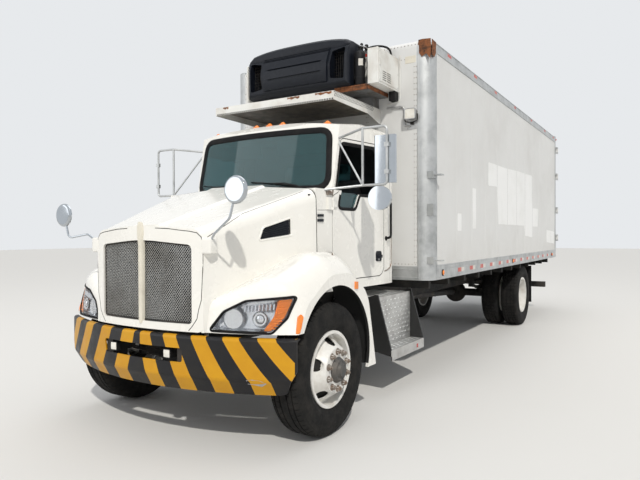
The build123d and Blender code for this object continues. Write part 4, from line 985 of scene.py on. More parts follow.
def add_doors():
    cab = skin("cab_shell")
    b = Build("door_openings_seal", rubber)
    edge = outline(DOOR, 0.08)
    places, normals = laid(cab, side_view(grown(edge, 0.002)), INWARD)
    middle = at(0.9, 1.0, 1.8)
    moved = [p + (middle - p).normalized() * 0.004 - n * 0.004 for p, n in zip(places, normals)]
    b.ribbon(moved, normals, 0.0042, 0.002, True, 0.03)
    b.mirror()
    b.done("chassis")

    for side, sign in SIDES:
        tree = skin("door_" + side, "door_glass_" + side)
        start = 1.6 * sign
        way = (-sign, 0, 0)
        b = Build("door_trim_" + side, rubber, black_plastic, chrome)
        edge = outline(DOOR_WINDOW, 0.06)
        b.ribbon(*laid(tree, side_view(grown(edge, 0.009), start), way), 0.014, 0.005, True)
        b.paint = 1
        places, _ = laid(tree, side_view(outline(HANDLE_PLATE, 0.03), start), way)
        b.prism([p - Vector((sign * 0.01, 0, 0)) for p in places], (sign * 0.016, 0, 0))
        x = places[0].x + sign * 0.006
        section = ((0, -0.016), (0, 0.016), (sign * 0.009, 0.013), (sign * 0.009, -0.013))
        grip = softened([at(x + sign * out, y, z) for out, y, z in GRIP], 0.02)
        b.loft([[p + Vector((u, 0, v)) for u, v in section] for p in grip])
        b.paint = 2
        b.lathe(at(x, 1.34, 1.312), (sign, 0, 0), ((0, 0.010), (0.004, 0.010), (0.005, 0.007)), 16)
        b.done("door_" + side, angle=40)

    b = Build("cab_grab_bars", dark_trim)
    feet, _ = laid(cab, [at(1.6, 1.500, 1.520), at(1.6, 1.500, 1.895)], INWARD)
    out = Vector((0.055, 0, 0))
    b.tube([feet[0], feet[0] + out + Vector((0, 0, 0.01)), feet[1] + out - Vector((0, 0, 0.01)), feet[1]],
           0.0125, 12, 0.03)
    for foot in feet:
        b.lathe(foot - Vector((0.004, 0, 0)), (1, 0, 0), ((0, 0.024), (0.009, 0.024), (0.014, 0.017)), 16)
    b.mirror()
    b.done("chassis")

    b = Build("cab_seams", seam_dark)
    seam = [Vector((1.595, 1.08 + 0.04 * k, 0)) for k in range(36)]
    b.ribbon(*laid(cab, side_view(seam), INWARD), 0.0022, 0.0006)
    b.mirror()
    b.done("chassis")


# Insulated box: lapped panels with rivets, patches, rails, tape and the front wall's fittings. Its rails and
# its walls have half widths of their own
BOX_HALF = 1.295
BOX_SIDE = 1.291
WALL_FRONT = 1.812
SEAM_FOOT = 1.236
SEAMS = [2.045 + 0.5875 * k for k in range(12)]


def add_box_sides():
    b = Build("box_side_seams", box_white)
    for y in SEAMS:
        b.ribbon([at(BOX_SIDE, y, SEAM_FOOT), at(BOX_SIDE, y, 3.458)], OUTWARD, 0.021, 0.0016, sunk=0.003)
    b.mirror()
    b.done("chassis")
    b = Build("box_side_rivets", box_white)
    for y in SEAMS:
        for dy in (-0.011, 0.011):
            b.rivets((BOX_SIDE + 0.0014, y + dy, 1.262), (0, 0, 0.0624), 36, OUTWARD, 0.0062, 0.0032)
    for z in (3.43, 1.258):
        b.rivets((BOX_SIDE, 1.985, z), (0, 0.0605, 0), 115, OUTWARD)
    b.mirror()
    b.done("chassis")


# Repair patches on the left side, as outlines (y, z)
PATCHES = (
    ((3.958, 2.526), (4.9, 2.531), (5.65, 2.556), (6.69, 2.573), (6.73, 2.012), (7.26, 2.014), (7.19, 1.695),
     (6.729, 1.69), (6.729, 1.501), (6.166, 1.532), (6.104, 1.698), (4.468, 1.702), (4.407, 2.228),
     (3.957, 2.212)),
    ((2.66, 1.80), (2.80, 1.80), (2.80, 1.60), (2.66, 1.60)),
    ((3.235, 2.13), (3.38, 2.13), (3.38, 1.63), (3.235, 1.63)),
    ((8.05, 1.64), (8.87, 1.60), (8.87, 1.36), (8.06, 1.40)),
)


def add_patches():
    b = Build("box_patches", box_patch)
    for rows in PATCHES:
        path = softened([at(BOX_SIDE - 0.001, y, z) for y, z in rows], 0.02, True, 3)
        b.prism(path, (0.0024, 0, 0))
    b.done("chassis")
    b = Build("box_patch_rivets", box_patch)
    for rows in PATCHES:
        count = len(rows)
        for i, (y, z) in enumerate(rows):
            y2, z2 = rows[(i + 1) % count]
            run = math.hypot(y2 - y, z2 - z)
            steps = max(2, round(run / 0.09))
            for k in range(steps):
                spot = at(BOX_SIDE + 0.001, y + (y2 - y) * (k + 0.5) / steps,
                          z + (z2 - z) * (k + 0.5) / steps)
                b.dome(spot, OUTWARD, 0.005, 0.0028)
    b.done("chassis")


# Reflective tape: pairs of a red and a white length on the lower rail, short red lengths on the upper one
TAPE_THICK = 0.0018
LOW_TAPE = (1.124, 1.172)
HIGH_TAPE = (3.515, 3.548)
HIGH_TAPE_STARTS = (2.32, 3.3, 4.26, 5.4, 6.6, 7.8, 8.7)
# Ribs of the rails as rows (height, half width, how far they stand out)
RAIL_RIBS = ((1.227, 0.006, 0.004), (1.188, 0.003, 0.003), (1.107, 0.003, 0.003), (1.083, 0.006, 0.004),
             (3.467, 0.006, 0.004), (3.56, 0.004, 0.003))


def add_rails():
    b = Build("rail_tapes", tape_red, tape_white)
    for k in range(14):
        for i, half in enumerate((0.062, 0.05)):
            b.paint = i
            start = 2.66 + 0.45 * k + 0.125 * i
            b.side_plate(BOX_HALF - 0.001, start, start + 2 * half, *LOW_TAPE, TAPE_THICK)
    b.paint = 0
    for start in HIGH_TAPE_STARTS:
        b.side_plate(BOX_HALF - 0.001, start, start + 0.12, *HIGH_TAPE, TAPE_THICK)
    b.mirror()
    b.done("chassis")
    b = Build("rail_ribs", aluminium)
    for z, half, high in RAIL_RIBS:
        x = BOX_HALF - (0.0004 if z > 3.5 else 0.0)
        b.ribbon([at(x, 1.965, z), at(x, 8.928, z)], OUTWARD, half, high, sunk=0.003)
    for z in (1.208, 3.49):
        b.rivets((BOX_HALF, 2.0, z), (0, 0.1, 0), 70, OUTWARD, 0.006, 0.0035)
    b.mirror()
    b.done("chassis")
    b = Build("side_marker_lamps", amber_lens, dark_trim)
    for y in (2.15, 5.3, 8.6):
        b.paint = 1
        b.lathe(at(BOX_HALF - 0.002, y, 1.145), OUTWARD, ((0, 0.036), (0.006, 0.036), (0.009, 0.030)), 24)
        b.paint = 0
        rows = ((0, 0.028), (0.006, 0.027), (0.012, 0.018), (0.014, 0.0))
        b.lathe(at(BOX_HALF + 0.004, y, 1.145), OUTWARD, rows, 24)
    b.mirror()
    b.done("chassis")


FRONT_SEAMS = (-1.12, -0.56, 0.0, 0.56, 1.12)


def add_front_wall():
    b = Build("front_wall_base", aluminium)
    b.front_plate(-1.145, 1.145, WALL_FRONT, 1.078, 1.225, 0.003)
    for z in (1.105, 1.19):
        b.ribbon([at(-1.14, WALL_FRONT - 0.003, z), at(1.14, WALL_FRONT - 0.003, z)], AHEAD, 0.006, 0.004)
    b.done("chassis", bevel=0.001)
    b = Build("front_wall_rivets", rusty_steel)
    for z in (1.245, 3.40, 3.54):
        b.rivets((-1.12, WALL_FRONT, z), (0.0393, 0, 0), 58, AHEAD)
    for x in FRONT_SEAMS:
        for dx in (-0.011, 0.011):
            b.rivets((x + dx, WALL_FRONT - 0.0014, 1.262), (0, 0, 0.0585), 36, AHEAD)
    b.done("chassis")
    b = Build("front_wall_seams", box_white)
    for x in FRONT_SEAMS:
        b.ribbon([at(x, WALL_FRONT, SEAM_FOOT), at(x, WALL_FRONT, 3.42)], AHEAD, 0.021, 0.0016, sunk=0.003)
    b.done("chassis")
    b = Build("corner_post_ribs", aluminium)
    for x, y, way in ((1.149, WALL_FRONT, AHEAD), (BOX_HALF, 1.961, OUTWARD)):
        b.ribbon([at(x, y, 1.08), at(x, y, 3.525)], way, 0.012, 0.003, sunk=0.004)
        for k in range(40):
            b.dome(at(x, y, 1.11 + 0.0615 * k) + way * 0.002, way, 0.006, 0.0035)
    b.mirror()
    b.done("chassis")


# Small solids laid where the camera's rays meet a surface
def tile(b, tree, pixels, height, radius):
    """Raised plate whose outline is given in pixels of the view."""
    places, normals = seen(tree, pixels)
    path = softened(places, radius, True)
    way = sum(normals, Vector((0, 0, 0))).normalized()
    middle = middle_of(path)
    loops = [[p - way * 0.002 for p in path], [p + way * height * 0.7 for p in path]]
    for share, high in ((0.91, 0.95), (0.82, 1.0)):
        loops.append([middle + (p - middle) * share + way * height * high for p in path])
    b.loft(loops)


LINE_STEPS = 6


def line(b, tree, pixels, half_width, height):
    """Low strip along a path that is given in pixels of the view."""
    run = []
    for a, c in zip(pixels, pixels[1:]):
        run += [(a[0] + (c[0] - a[0]) * k / LINE_STEPS, a[1] + (c[1] - a[1]) * k / LINE_STEPS)
                for k in range(LINE_STEPS)]
    b.ribbon(*seen(tree, run + [pixels[-1]]), half_width, height)


# Cooling unit: crown, raised panel with its grooves, intake guards, end plates, pipes, control box and hose
UNIT_HALF = 0.64
PANEL_LIFT = 0.021


def add_unit_crown():
    b = Build("unit_crown", black_plastic)
    loops = []
    for k in range(25):
        u = -1 + k / 12
        end = abs(u) > 0.97
        top = 3.586 - 0.045 * abs(u) ** 3.5 - (0.015 if end else 0)
        back = 0.02 * u * u + (0.012 if end else 0)
        rows = ((1.552, 3.46), (1.252 + back, 3.46), (1.243 + back, 3.49), (1.25 + back, top - 0.032),
                (1.272 + back, top - 0.01), (1.32 + back, top), (1.552, top - 0.004))
        loops.append([at(u * (UNIT_HALF - 0.002), y, z) for y, z in rows])
    b.loft(loops)
    b.done("chassis", bevel=0.004, angle=30)


def panel_rows():
    """Rows (height, lift) of the raised panel: two wide grooves, then three narrow ones."""
    rows = [(3.128, 0.0), (3.131, 0.016), (3.142, PANEL_LIFT)]
    for z in (3.226, 3.322):
        rows += [(z, PANEL_LIFT), (z + 0.004, 0.008), (z + 0.016, 0.008), (z + 0.02, PANEL_LIFT)]
    rows += [(3.36, PANEL_LIFT), (3.42, PANEL_LIFT)]
    for z in (3.428, 3.44, 3.452):
        rows += [(z, PANEL_LIFT), (z + 0.002, 0.014), (z + 0.006, 0.014), (z + 0.008, PANEL_LIFT)]
    return rows + [(3.468, 0.014), (3.472, 0.0)]


def add_unit_panel():
    tree = skin("unit_shroud")
    b = Build("unit_panel", black_plastic)
    loops = []
    for z, lift in panel_rows():
        half = 0.40 + (z - 3.13) * 0.075
        spots = [-half] + [-half + 0.006 + (2 * half - 0.012) * k / 28 for k in range(29)] + [half]
        places, normals = laid(tree, [at(x, 0.8, z) for x in spots], BACKWARD)
        edge = 0.01 < lift < 0.03
        lifts = [lift if edge or abs(x) < half - 0.07 else PANEL_LIFT for x in spots[1:-1]]
        loops.append([p + n * v for p, n, v in zip(places, normals, [-0.004] + lifts + [-0.004])])
    b.loft(loops, cap=False, open_loop=True)
    b.done("chassis", whole=False, angle=35)


def add_unit_ends():
    b = Build("unit_intake_guards", seam_dark)
    for k in range(6):
        x = 0.465 + k * 0.024
        b.tube([at(x, 1.30, 3.14), at(x, 1.31, 3.44)], 0.0024, 6)
    for k in range(9):
        z = 3.16 + k * 0.033
        b.tube([at(0.435, 1.305, z), at(0.595, 1.305, z)], 0.0018, 6)
    b.mirror()
    b.done("chassis")

    b = Build("unit_side_plates", unit_white, rust)
    b.block(0.652, 0.806, 1.545, 1.567, 3.075, 3.478)
    b.block(-0.672, -0.655, 1.262, 1.567, 3.052, 3.45)
    b.block(-0.7, -0.672, 1.5, 1.567, 3.06, 3.44)
    b.paint = 1
    b.block(0.44, 0.81, 1.300, 1.372, 3.045, 3.0645)
    b.block(0.44, 0.81, 1.300, 1.306, 3.012, 3.050)
    b.block(0.8115, 0.8165, 1.32, 1.80, 3.022, 3.060)
    for x in (0.664, 0.796):
        b.rivets((x, 1.545, 3.1), (0, 0, 0.06), 7, AHEAD, 0.006)
    b.done("chassis", bevel=0.002)


# The receiver tank's foot, its outline as rows (height, radius), and its nuts
TANK = at(0.704, 1.365, 3.062)
TANK_ROWS = ((0.0, 0.03), (0.004, 0.046), (0.02, 0.053), (0.325, 0.053), (0.345, 0.046), (0.357, 0.026),
             (0.362, 0.0))
TANK_NECK = ((0, 0.012), (0.03, 0.012), (0.032, 0.018), (0.045, 0.018), (0.048, 0.01))
BAND_ROWS = ((0, 0.0535), (0, 0.0555), (0.018, 0.0555), (0.018, 0.0535))
PIPE_NUTS = ((0.776, 1.40, 3.30), (0.776, 1.40, 3.16), (0.714, 1.46, 3.485), (0.676, 1.44, 3.28))


def add_receiver():
    b = Build("unit_receiver", dark_trim, steel, tape_white)
    b.lathe(TANK, UPWARD, TANK_ROWS, 36)
    for z in (0.075, 0.27):
        b.lathe(TANK + Vector((0, 0, z)), UPWARD, BAND_ROWS, 36, True)
    b.lathe(TANK + Vector((0, 0, 0.36)), UPWARD, TANK_NECK, 6)
    b.paint = 1
    for radius, bend, places in (
        (0.007, 0.025, ((0.704, 1.365, 3.44), (0.704, 1.365, 3.475), (0.714, 1.46, 3.485),
                        (0.724, 1.60, 3.47))),
        (0.0065, 0.03, ((0.776, 1.40, 3.066), (0.776, 1.40, 3.42), (0.764, 1.60, 3.44))),
        (0.005, 0.02, ((0.676, 1.44, 3.066), (0.676, 1.44, 3.40), (0.68, 1.50, 3.43), (0.68, 1.60, 3.43))),
    ):
        b.tube([at(*place) for place in places], radius, 10, bend)
    for place in PIPE_NUTS:
        way = (0, 1, 0) if place[2] > 3.4 else UPWARD
        b.lathe(at(*place), way, ((-0.012, 0.011), (0.012, 0.011)), 6)
    b.paint = 2
    turns = (0.2, 0.5, 0.8, 1.1)
    label = [(0.054, t) for t in turns] + [(0.05, t) for t in reversed(turns)]
    b.prism([TANK + Vector((r * math.sin(t), -r * math.cos(t), 0.2)) for r, t in label], (0, 0, 0.07))
    b.done("chassis", angle=40)


# Valves as rows (x, y, z, radius)
VALVES = ((0.67, 1.47, 3.505, 0.016), (0.70, 1.52, 3.50, 0.021), (0.765, 1.53, 3.455, 0.026))
GAUGE_ROWS = ((-0.02, 0.03), (0.012, 0.03), (0.016, 0.026), (0.05, 0.026), (0.054, 0.018))


def add_valves():
    b = Build("unit_valves", dark_trim, steel, tape_red)
    for x, y, z, r in VALVES:
        b.lathe(at(x, y, z), UPWARD, ((-0.03, r * 0.7), (-0.01, r), (0.02, r), (0.03, r * 0.6)), 14)
    b.lathe(at(0.762, 1.532, 3.41), (0.5, -1, 0), GAUGE_ROWS, 20)
    b.paint = 1
    b.tube([at(0.67, 1.47, 3.49), at(0.69, 1.51, 3.49)], 0.006, 8)
    b.tube([at(0.70, 1.52, 3.48), at(0.765, 1.53, 3.46)], 0.006, 8)
    b.paint = 2
    b.block(0.694, 0.712, 1.506, 1.518, 3.40, 3.43)
    b.done("chassis", angle=40)


# Louvres of the control box: their feet as (y, z), and the section of each as (out, up)
LOUVRES = [(y, 3.115 + row * 0.021) for row in range(5) for y in (1.405, 1.515)]
LOUVRE_LENGTH = 0.086
LOUVRE_SECTION = ((0, 0.008), (0.006, 0.0), (0.0062, -0.001), (0, -0.001))


def add_control_box():
    b = Build("control_box_trim", unit_white, seam_dark, steel)
    b.side_plate(0.9315, 1.335, 1.79, 3.085, 3.395, 0.006)
    for y, z in LOUVRES:
        b.loft([[at(0.9372 + u, y + end, z + v) for u, v in LOUVRE_SECTION] for end in (0, LOUVRE_LENGTH)])
    # Dark strips under the louvres: painted shade in their slots
    b.paint = 1
    for y, z in LOUVRES:
        b.block(0.937, 0.9382, y + 0.002, y + 0.084, z - 0.006, z - 0.001)
    b.paint = 2
    for y in (1.345, 1.78):
        for z in (3.1, 3.24, 3.38):
            b.dome(at(0.9375, y, z), OUTWARD, 0.007, 0.004, 8)
    b.done("chassis", bevel=0.002)


# The hose from the unit's back into the box behind the control box
HOSE_RUN = (at(0.575, 1.70, 3.455), at(0.575, 1.70, 3.535), at(0.66, 1.725, 3.574), at(0.79, 1.745, 3.562),
            at(0.874, 1.76, 3.51), at(0.874, 1.76, 3.40))


def add_hose():
    curve = bpy.data.curves.new("unit_hose", "CURVE")
    curve.dimensions = "3D"
    curve.bevel_depth = 0.011
    curve.bevel_resolution = 4
    curve.use_fill_caps = True
    spline = curve.splines.new("NURBS")
    spline.points.add(len(HOSE_RUN) - 1)
    for point, place in zip(spline.points, HOSE_RUN):
        point.co = (*place, 1)
    spline.order_u = 3
    spline.use_endpoint_u = True
    curve.materials.append(rubber)
    hose = new_object("unit_hose", curve)
    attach(hose, "chassis")


def add_connector():
    b = Build("unit_connector", dark_trim, unit_white)
    b.block(0.86, 0.93, 1.72, 1.812, 2.965, 3.06)
    b.paint = 1
    conduit = [at(0.95, 1.803, 3.45), at(0.95, 1.803, 2.99), at(0.935, 1.803, 2.965), at(0.80, 1.803, 2.945)]
    b.tube(conduit, 0.006, 8, 0.03)
    b.done("chassis", bevel=0.003)


# Black sheet of painted shade behind the grille, seams of the front and small fittings of the hood. These
# paths are in pixels of the picture
SURROUND_SEAM = ((188.6, 330.8), (192.5, 326), (197, 319), (198.6, 310), (201.4, 300), (203, 262),
                 (203, 243.5), (201.4, 237.3), (196.8, 232.8), (189.2, 231.2), (180, 230.2), (168, 228.6),
                 (155, 228))
HOOD_CREASE = ((203, 240), (242.8, 213.6), (302.5, 191.4))
FENDER_LAMP = ((297.3, 317), (300.5, 314.5), (303.2, 317.5), (301.2, 328), (299.6, 334), (297.2, 337),
               (294.9, 335.5), (296.2, 328))
FENDER_MARKER = ((354.5, 281.5), (357.4, 281.5), (357.4, 289), (354.5, 289))
BUMPER_SCRAPE = ((246, 380.2), (252, 379.8), (260, 381), (266.7, 384), (262, 386.8), (254, 385), (248, 384.2))
SHADE_SHEET_INSET = 0.036
# Lamp and housing in the bumper's slot: material, growth of the outline, rows (distance back, share)
SLOT_LAMP = (
    (0, 0.88, ((0.04, 1.0), (0.002, 1.0), (-0.002, 0.86))),
    (1, 1.12, ((0.05, 0.9), (0.03, 1.0), (0.004, 1.0))),
)


def add_front_details():
    # A black sheet behind the wires paints the shade seen through the grille
    b = Build("grille_shade_sheet", shade_black)
    path = grown(outline(GRILLE, 0.08), -0.001)
    loops = []
    for s in (1.0, 0.75, 0.5, 0.25, 0.01):
        loops.append([at(p.x * s, front_y(p.x * s, SHADE_SHEET_INSET), GRILLE_MIDDLE + (p.y - GRILLE_MIDDLE) * s)
                      for p in path])
    b.loft(loops, cap=False)
    b.done("hood", whole=False)

    hood = skin("hood", "grille_surround")
    b = Build("hood_seams", seam_dark)
    line(b, hood, SURROUND_SEAM, 0.0028, 0.0006)
    line(b, hood, HOOD_CREASE, 0.0026, 0.0005)
    b.mirror()
    b.done("hood")

    b = Build("fender_lamps", amber_lens)
    tile(b, hood, FENDER_LAMP, 0.014, 0.012)
    tile(b, hood, FENDER_MARKER, 0.012, 0.006)
    b.mirror()
    b.done("hood", bevel=0.002)

    b = Build("bumper_slot_lamps", lamp_white, dark_trim)
    shell = rounded(-0.034, 0.034, -0.032, 0.032, 0.008, 0.03)
    for x in (0.245, -0.339):
        spot = at(x, -0.842, 0.688)
        for paint, grow, rows in SLOT_LAMP:
            b.paint = paint
            b.loft([[spot + Vector((p.x * s * grow, v, p.y * s * grow)) for p in shell] for v, s in rows])
    b.done("chassis")
    b = Build("bumper_scrapes", steel)
    places, normals = seen(skin("bumper"), BUMPER_SCRAPE)
    b.loft([[p + n * lift for p, n in zip(places, normals)] for lift in (-0.001, 0.0008)])
    b.done("chassis")


# Sockets of the hood mirrors' arms
def add_mirror_details():
    b = Build("hood_mirror_sockets", cab_white)
    foot = at(0.565, -0.764, 1.484)
    shell = rounded(-0.040, 0.040, -0.060, 0.060, 0.014, 0.03)
    rows = ((0.0, 1.0), (0.065, 1.0), (0.078, 0.93), (0.083, 0.8))
    b.loft([[foot + Vector((v, p.x * s, p.y * s)) for p in shell] for v, s in rows])
    b.mirror()
    b.done("hood", bevel=0.004)


# Cowl and door fittings on the left side, repeated on the right. These paths are in pixels of the picture
HINGE_POST = ((332.6, 190), (332.4, 222), (332.3, 255))
HINGE_CAP = ((326, 189.5), (332, 189.5), (332, 195), (326, 195))
COWL_STUDS = (
    ((317.3, 214.1), (323.1, 214.1), (323.1, 216.7), (317.3, 216.7)),
    ((317.3, 218.9), (323.1, 218.9), (323.1, 221.7), (317.3, 221.7)),
)
COWL_SEAM = ((317.5, 210), (332, 210))
DOOR_MOULDING = ((391, 211), (391, 263), (390, 267), (387, 270), (384.5, 271))


def add_side_details():
    cab = skin("cab_shell", "hood")
    b = Build("cowl_hinges", rusty_steel, black_plastic, dark_trim)
    line(b, cab, HINGE_POST, 0.008, 0.008)
    tile(b, cab, HINGE_CAP, 0.018, 0.004)
    b.paint = 1
    for stud in COWL_STUDS:
        tile(b, cab, stud, 0.012, 0.004)
    b.paint = 2
    line(b, cab, COWL_SEAM, 0.002, 0.001)
    b.mirror()
    b.done("chassis", bevel=0.001)
    b = Build("door_mouldings", rusty_steel)
    line(b, skin("cab_shell"), DOOR_MOULDING, 0.006, 0.005)
    b.mirror()
    b.done("chassis")


# Diamond plate: small raised lozenges by half their length, half their width and their height
LOZENGE_SIZE = (0.017, 0.005, 0.0028)
LOZENGE_PITCH = 0.045


def lozenges(b, tree, corner, across, up, count, rows):
    """Rows of lozenges from a corner on, which lean in turn to one side and the other."""
    across, up = Vector(across).normalized(), Vector(up).normalized()
    out = across.cross(up).normalized()
    for i in range(count):
        for j in range(rows):
            start = corner + across * LOZENGE_PITCH * (i + 0.5)
            start = start + up * LOZENGE_PITCH * (j + 0.5) + out * 0.06
            places, _ = laid(tree, [start], -out)
            middle = places[0]
            lean = 1 if (i + j) % 2 else -1
            a = (across * lean + up).normalized() * LOZENGE_SIZE[0]
            c = (up - across * lean).normalized() * LOZENGE_SIZE[1]
            base = [middle + a, middle + c, middle - a, middle - c]
            top = [middle + (p - middle) * 0.45 + out * LOZENGE_SIZE[2] for p in base]
            b.loft([[p - out * 0.0008 for p in base], top])


def add_step_box():
    b = Build("step_box_plates", aluminium, red_lens)
    tree = skin("step_box")
    lozenges(b, tree, at(1.0, 1.17, 0.48), (0, 1, 0), (0, 0, 1), 17, 10)
    lozenges(b, tree, at(0.575, 1.17, 0.95), (1, 0, 0), (0, 1, 0), 9, 17)
    lozenges(b, tree, at(1.005, 1.17, 0.46), (1, 0, 0), (0, 1, 0), 3, 17)
    b.paint = 1
    b.block(1.149, 1.152, 1.76, 1.80, 0.385, 0.425)
    b.done("chassis", whole=False, angle=20)


# Platform: rows of holes in its edges, drawn as dark marks of painted shade, and rust on the front flange
HOLE_PITCH = 0.0275
FLANGE_FRONT = 0.7996
RUST_STRETCHES = ((0.20, 0.34), (0.52, 0.70), (-0.62, -0.55))


def add_platform_details():
    b = Build("platform_edges", seam_dark, rust)
    # Dark marks for the holes: painted shade seen through them
    for k in range(52):
        x = -0.70 + HOLE_PITCH * k
        b.block(x, x + 0.015, 0.798, 0.8005, 2.822, 2.836)
    holes = [at(1.0, 0.815 + HOLE_PITCH * i + 0.014 * (j % 2), 2.862 + 0.017 * j)
             for i in range(30) for j in range(3)]
    places, _ = laid(skin("platform"), holes, INWARD)
    for p in places:
        if p.x > 0.69:
            b.lathe(p, OUTWARD, ((-0.002, 0.0065), (0.0006, 0.0065)), 8)
    b.paint = 1
    for x0, x1 in RUST_STRETCHES:
        path = [at(x0 + (x1 - x0) * k / 6, FLANGE_FRONT, 2.904 - 0.002 - 0.006 * (k % 2)) for k in range(7)]
        path += [at(x1 - (x1 - x0) * k / 6, FLANGE_FRONT, 2.888 - 0.007 * ((k + 1) % 3)) for k in range(7)]
        b.prism(path, (0, -0.0006, 0))
    b.done("chassis")


# Front wall: work lamp with its bracket, conduit with its clips, a blank plate and the rusted top corner
WORK_LAMP = at(1.09, 1.77, 2.81)
WORK_LAMP_ROWS = ((0.018, 0.7), (0.005, 0.86), (-0.03, 1.0), (-0.042, 1.0), (-0.042, 0.86), (-0.036, 0.84))
LAMP_BRACKET = ((1.02, 1.77, 2.81), (1.02, 1.775, 2.74), (1.09, 1.78, 2.725), (1.16, 1.775, 2.74),
                (1.16, 1.77, 2.81))
CONDUIT = ((0.80, 1.800, 2.905), (0.98, 1.800, 2.905), (1.0, 1.800, 2.885), (1.0, 1.800, 2.70),
           (1.07, 1.80, 2.69))
CONDUIT_CLIPS = ((0.86, 2.905), (0.95, 2.905), (1.0, 2.8))
# Rust of the top corner as outlines (x, z) on the front and (y, z) on the side
FRONT_RUST = ((1.15, 3.46), (1.19, 3.40), (1.24, 3.43), (1.285, 3.37), (1.293, 3.50), (1.290, 3.575),
              (1.20, 3.583), (1.155, 3.58))
SIDE_RUST = ((1.83, 3.36), (1.86, 3.42), (1.90, 3.40), (1.955, 3.46), (1.958, 3.57), (1.83, 3.575))


def add_wall_fittings():
    b = Build("wall_work_lamp", steel, lamp_white, seam_dark, cream_white)
    b.front_plate(1.03, 1.15, WALL_FRONT, 2.66, 2.86, 0.005)
    shell = rounded(-0.062, 0.062, -0.058, 0.058, 0.015, 0.05)
    b.loft([[WORK_LAMP + Vector((p.x * s, v, p.y * s)) for p in shell] for v, s in WORK_LAMP_ROWS], cap=False)
    b.paint = 1
    b.prism([WORK_LAMP + Vector((p.x * 0.86, -0.038, p.y * 0.86)) for p in shell], (0, 0.02, 0))
    b.paint = 2
    b.tube([at(*place) for place in LAMP_BRACKET], 0.006, 8, 0.02)
    b.block(1.075, 1.105, 1.78, 1.812, 2.705, 2.735)
    b.paint = 0
    b.tube([at(*place) for place in CONDUIT], 0.009, 10, 0.03)
    for x, z in CONDUIT_CLIPS:
        b.block(x - 0.014, x + 0.014, 1.797, 1.8135, z - 0.014, z + 0.014)
    b.paint = 3
    b.front_plate(1.008, 1.127, WALL_FRONT, 3.353, 3.427, 0.003)
    b.done("chassis", bevel=0.002)

    b = Build("corner_cap_rust", rust)
    b.prism([at(x, 1.8125, z) for x, z in FRONT_RUST], (0, -0.0012, 0))
    b.prism([at(1.2945, y, z) for y, z in SIDE_RUST], (0.0012, 0, 0))
    b.done("chassis")


# Seats: crowned cushions with sewn channels, in place of the plain solids
# Forms as rows (distance along, width share, half thickness)
CUSHION_ROWS = (
    (-0.235, 0.80, 0.026), (-0.232, 0.90, 0.040), (-0.20, 0.97, 0.052), (-0.1, 1.0, 0.052), (0.0, 1.0, 0.050),
    (0.1, 0.99, 0.048), (0.17, 0.95, 0.045), (0.2, 0.86, 0.03),
)
BACK_ROWS = (
    (0.0, 0.84, 0.03), (0.01, 0.93, 0.045), (0.06, 0.98, 0.052), (0.2, 1.0, 0.052), (0.34, 0.97, 0.05),
    (0.45, 0.88, 0.046), (0.50, 0.72, 0.04), (0.535, 0.62, 0.042), (0.60, 0.6, 0.042), (0.645, 0.56, 0.036),
    (0.662, 0.42, 0.018),
)
# Channels as (distance from the middle, width, depth)
CUSHION_CHANNELS = ((0.15, 0.012, 0.014), (0.05, 0.008, 0.007))
BACK_CHANNELS = ((0.14, 0.012, 0.014), (0.05, 0.008, 0.006))
# The suspension's bellows as rows (height, width share)
BELLOWS = ((1.16, 1.0), (1.19, 0.86), (1.21, 0.98), (1.235, 0.84), (1.255, 0.97), (1.28, 0.83), (1.30, 0.96),
           (1.325, 0.84), (1.355, 1.0))
RING_STEPS = 26


def cushion(b, place, half, rows, crown, channels):
    """Closed crowned form. place turns (along, across, out) into a point."""
    loops = []
    for along, share, thick in rows:
        ring = []
        for i in range(RING_STEPS):
            t = math.tau * i / RING_STEPS
            c, s = math.cos(t), math.sin(t)
            u = half * share * math.copysign(abs(c) ** 0.42, c)
            v = thick * math.copysign(abs(s) ** 0.55, s)
            if s > 0:
                swell = crown * (1 - (u / half) ** 2) * share
                for middle, width, deep in channels:
                    swell -= deep * math.exp(-((abs(u) - middle) / width) ** 2)
                v += swell
            ring.append(place(along, u, v))
        loops.append(ring)
    b.loft(loops)


def add_padding(name, place, half, rows, crown, channels):
    b = Build(name, seat_cloth)
    cushion(b, place, half, rows, crown, channels)
    piece = b.done("chassis", angle=60)
    soft = piece.modifiers.new("soft", "SUBSURF")
    soft.levels = soft.render_levels = 2
    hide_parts("seats")


def add_seats():
    lean = Vector((0, 0.11, 0.65)).normalized()
    face = Vector((0, -lean.z, lean.y))
    for name, x in (("driver", 0.43), ("passenger", -0.43)):
        base = at(x, 1.27, 1.44)
        foot = at(x, 1.478, 1.50)

        def flat(along, u, v):
            return base + Vector((u, along, v))

        def upright(along, u, v):
            return foot + lean * along + Vector((u, 0, 0)) + face * (v - 0.045)

        add_padding("seat_cushion_" + name, flat, 0.235, CUSHION_ROWS, 0.022, CUSHION_CHANNELS)
        add_padding("seat_back_" + name, upright, 0.225, BACK_ROWS, 0.018, BACK_CHANNELS)
        b = Build("seat_frame_" + name, dark_trim, steel)
        b.block(x - 0.18, x + 0.18, 1.08, 1.42, 1.13, 1.16)
        b.block(x - 0.20, x + 0.20, 1.06, 1.46, 1.355, 1.385)
        corners = ((-1, -1), (1, -1), (1, 1), (-1, 1))
        b.loft([[at(x + u * 0.165 * s, 1.25 + v * 0.155 * s, z) for u, v in corners] for z, s in BELLOWS])
        b.paint = 1
        for side in (-0.165, 0.165):
            b.tube([at(x + side, 1.40, 1.37), at(x + side, 1.49, 1.42), at(x + side, 1.54, 1.56)], 0.011, 8,
                   0.03)
        piece = b.done("chassis", bevel=0.003)
        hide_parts("seats")


def add_cab_inside():
    b = Build("sun_visors", interior_grey)
    for x in (-0.37, 0.37):
        path = rounded(x - 0.27, x + 0.27, 2.325, 2.465, 0.03)
        b.prism([at(p.x, 0.79 - (p.y - 2.325) * 0.25, p.y) for p in path], (0, 0.012, 0))
    b.done("chassis", bevel=0.004)


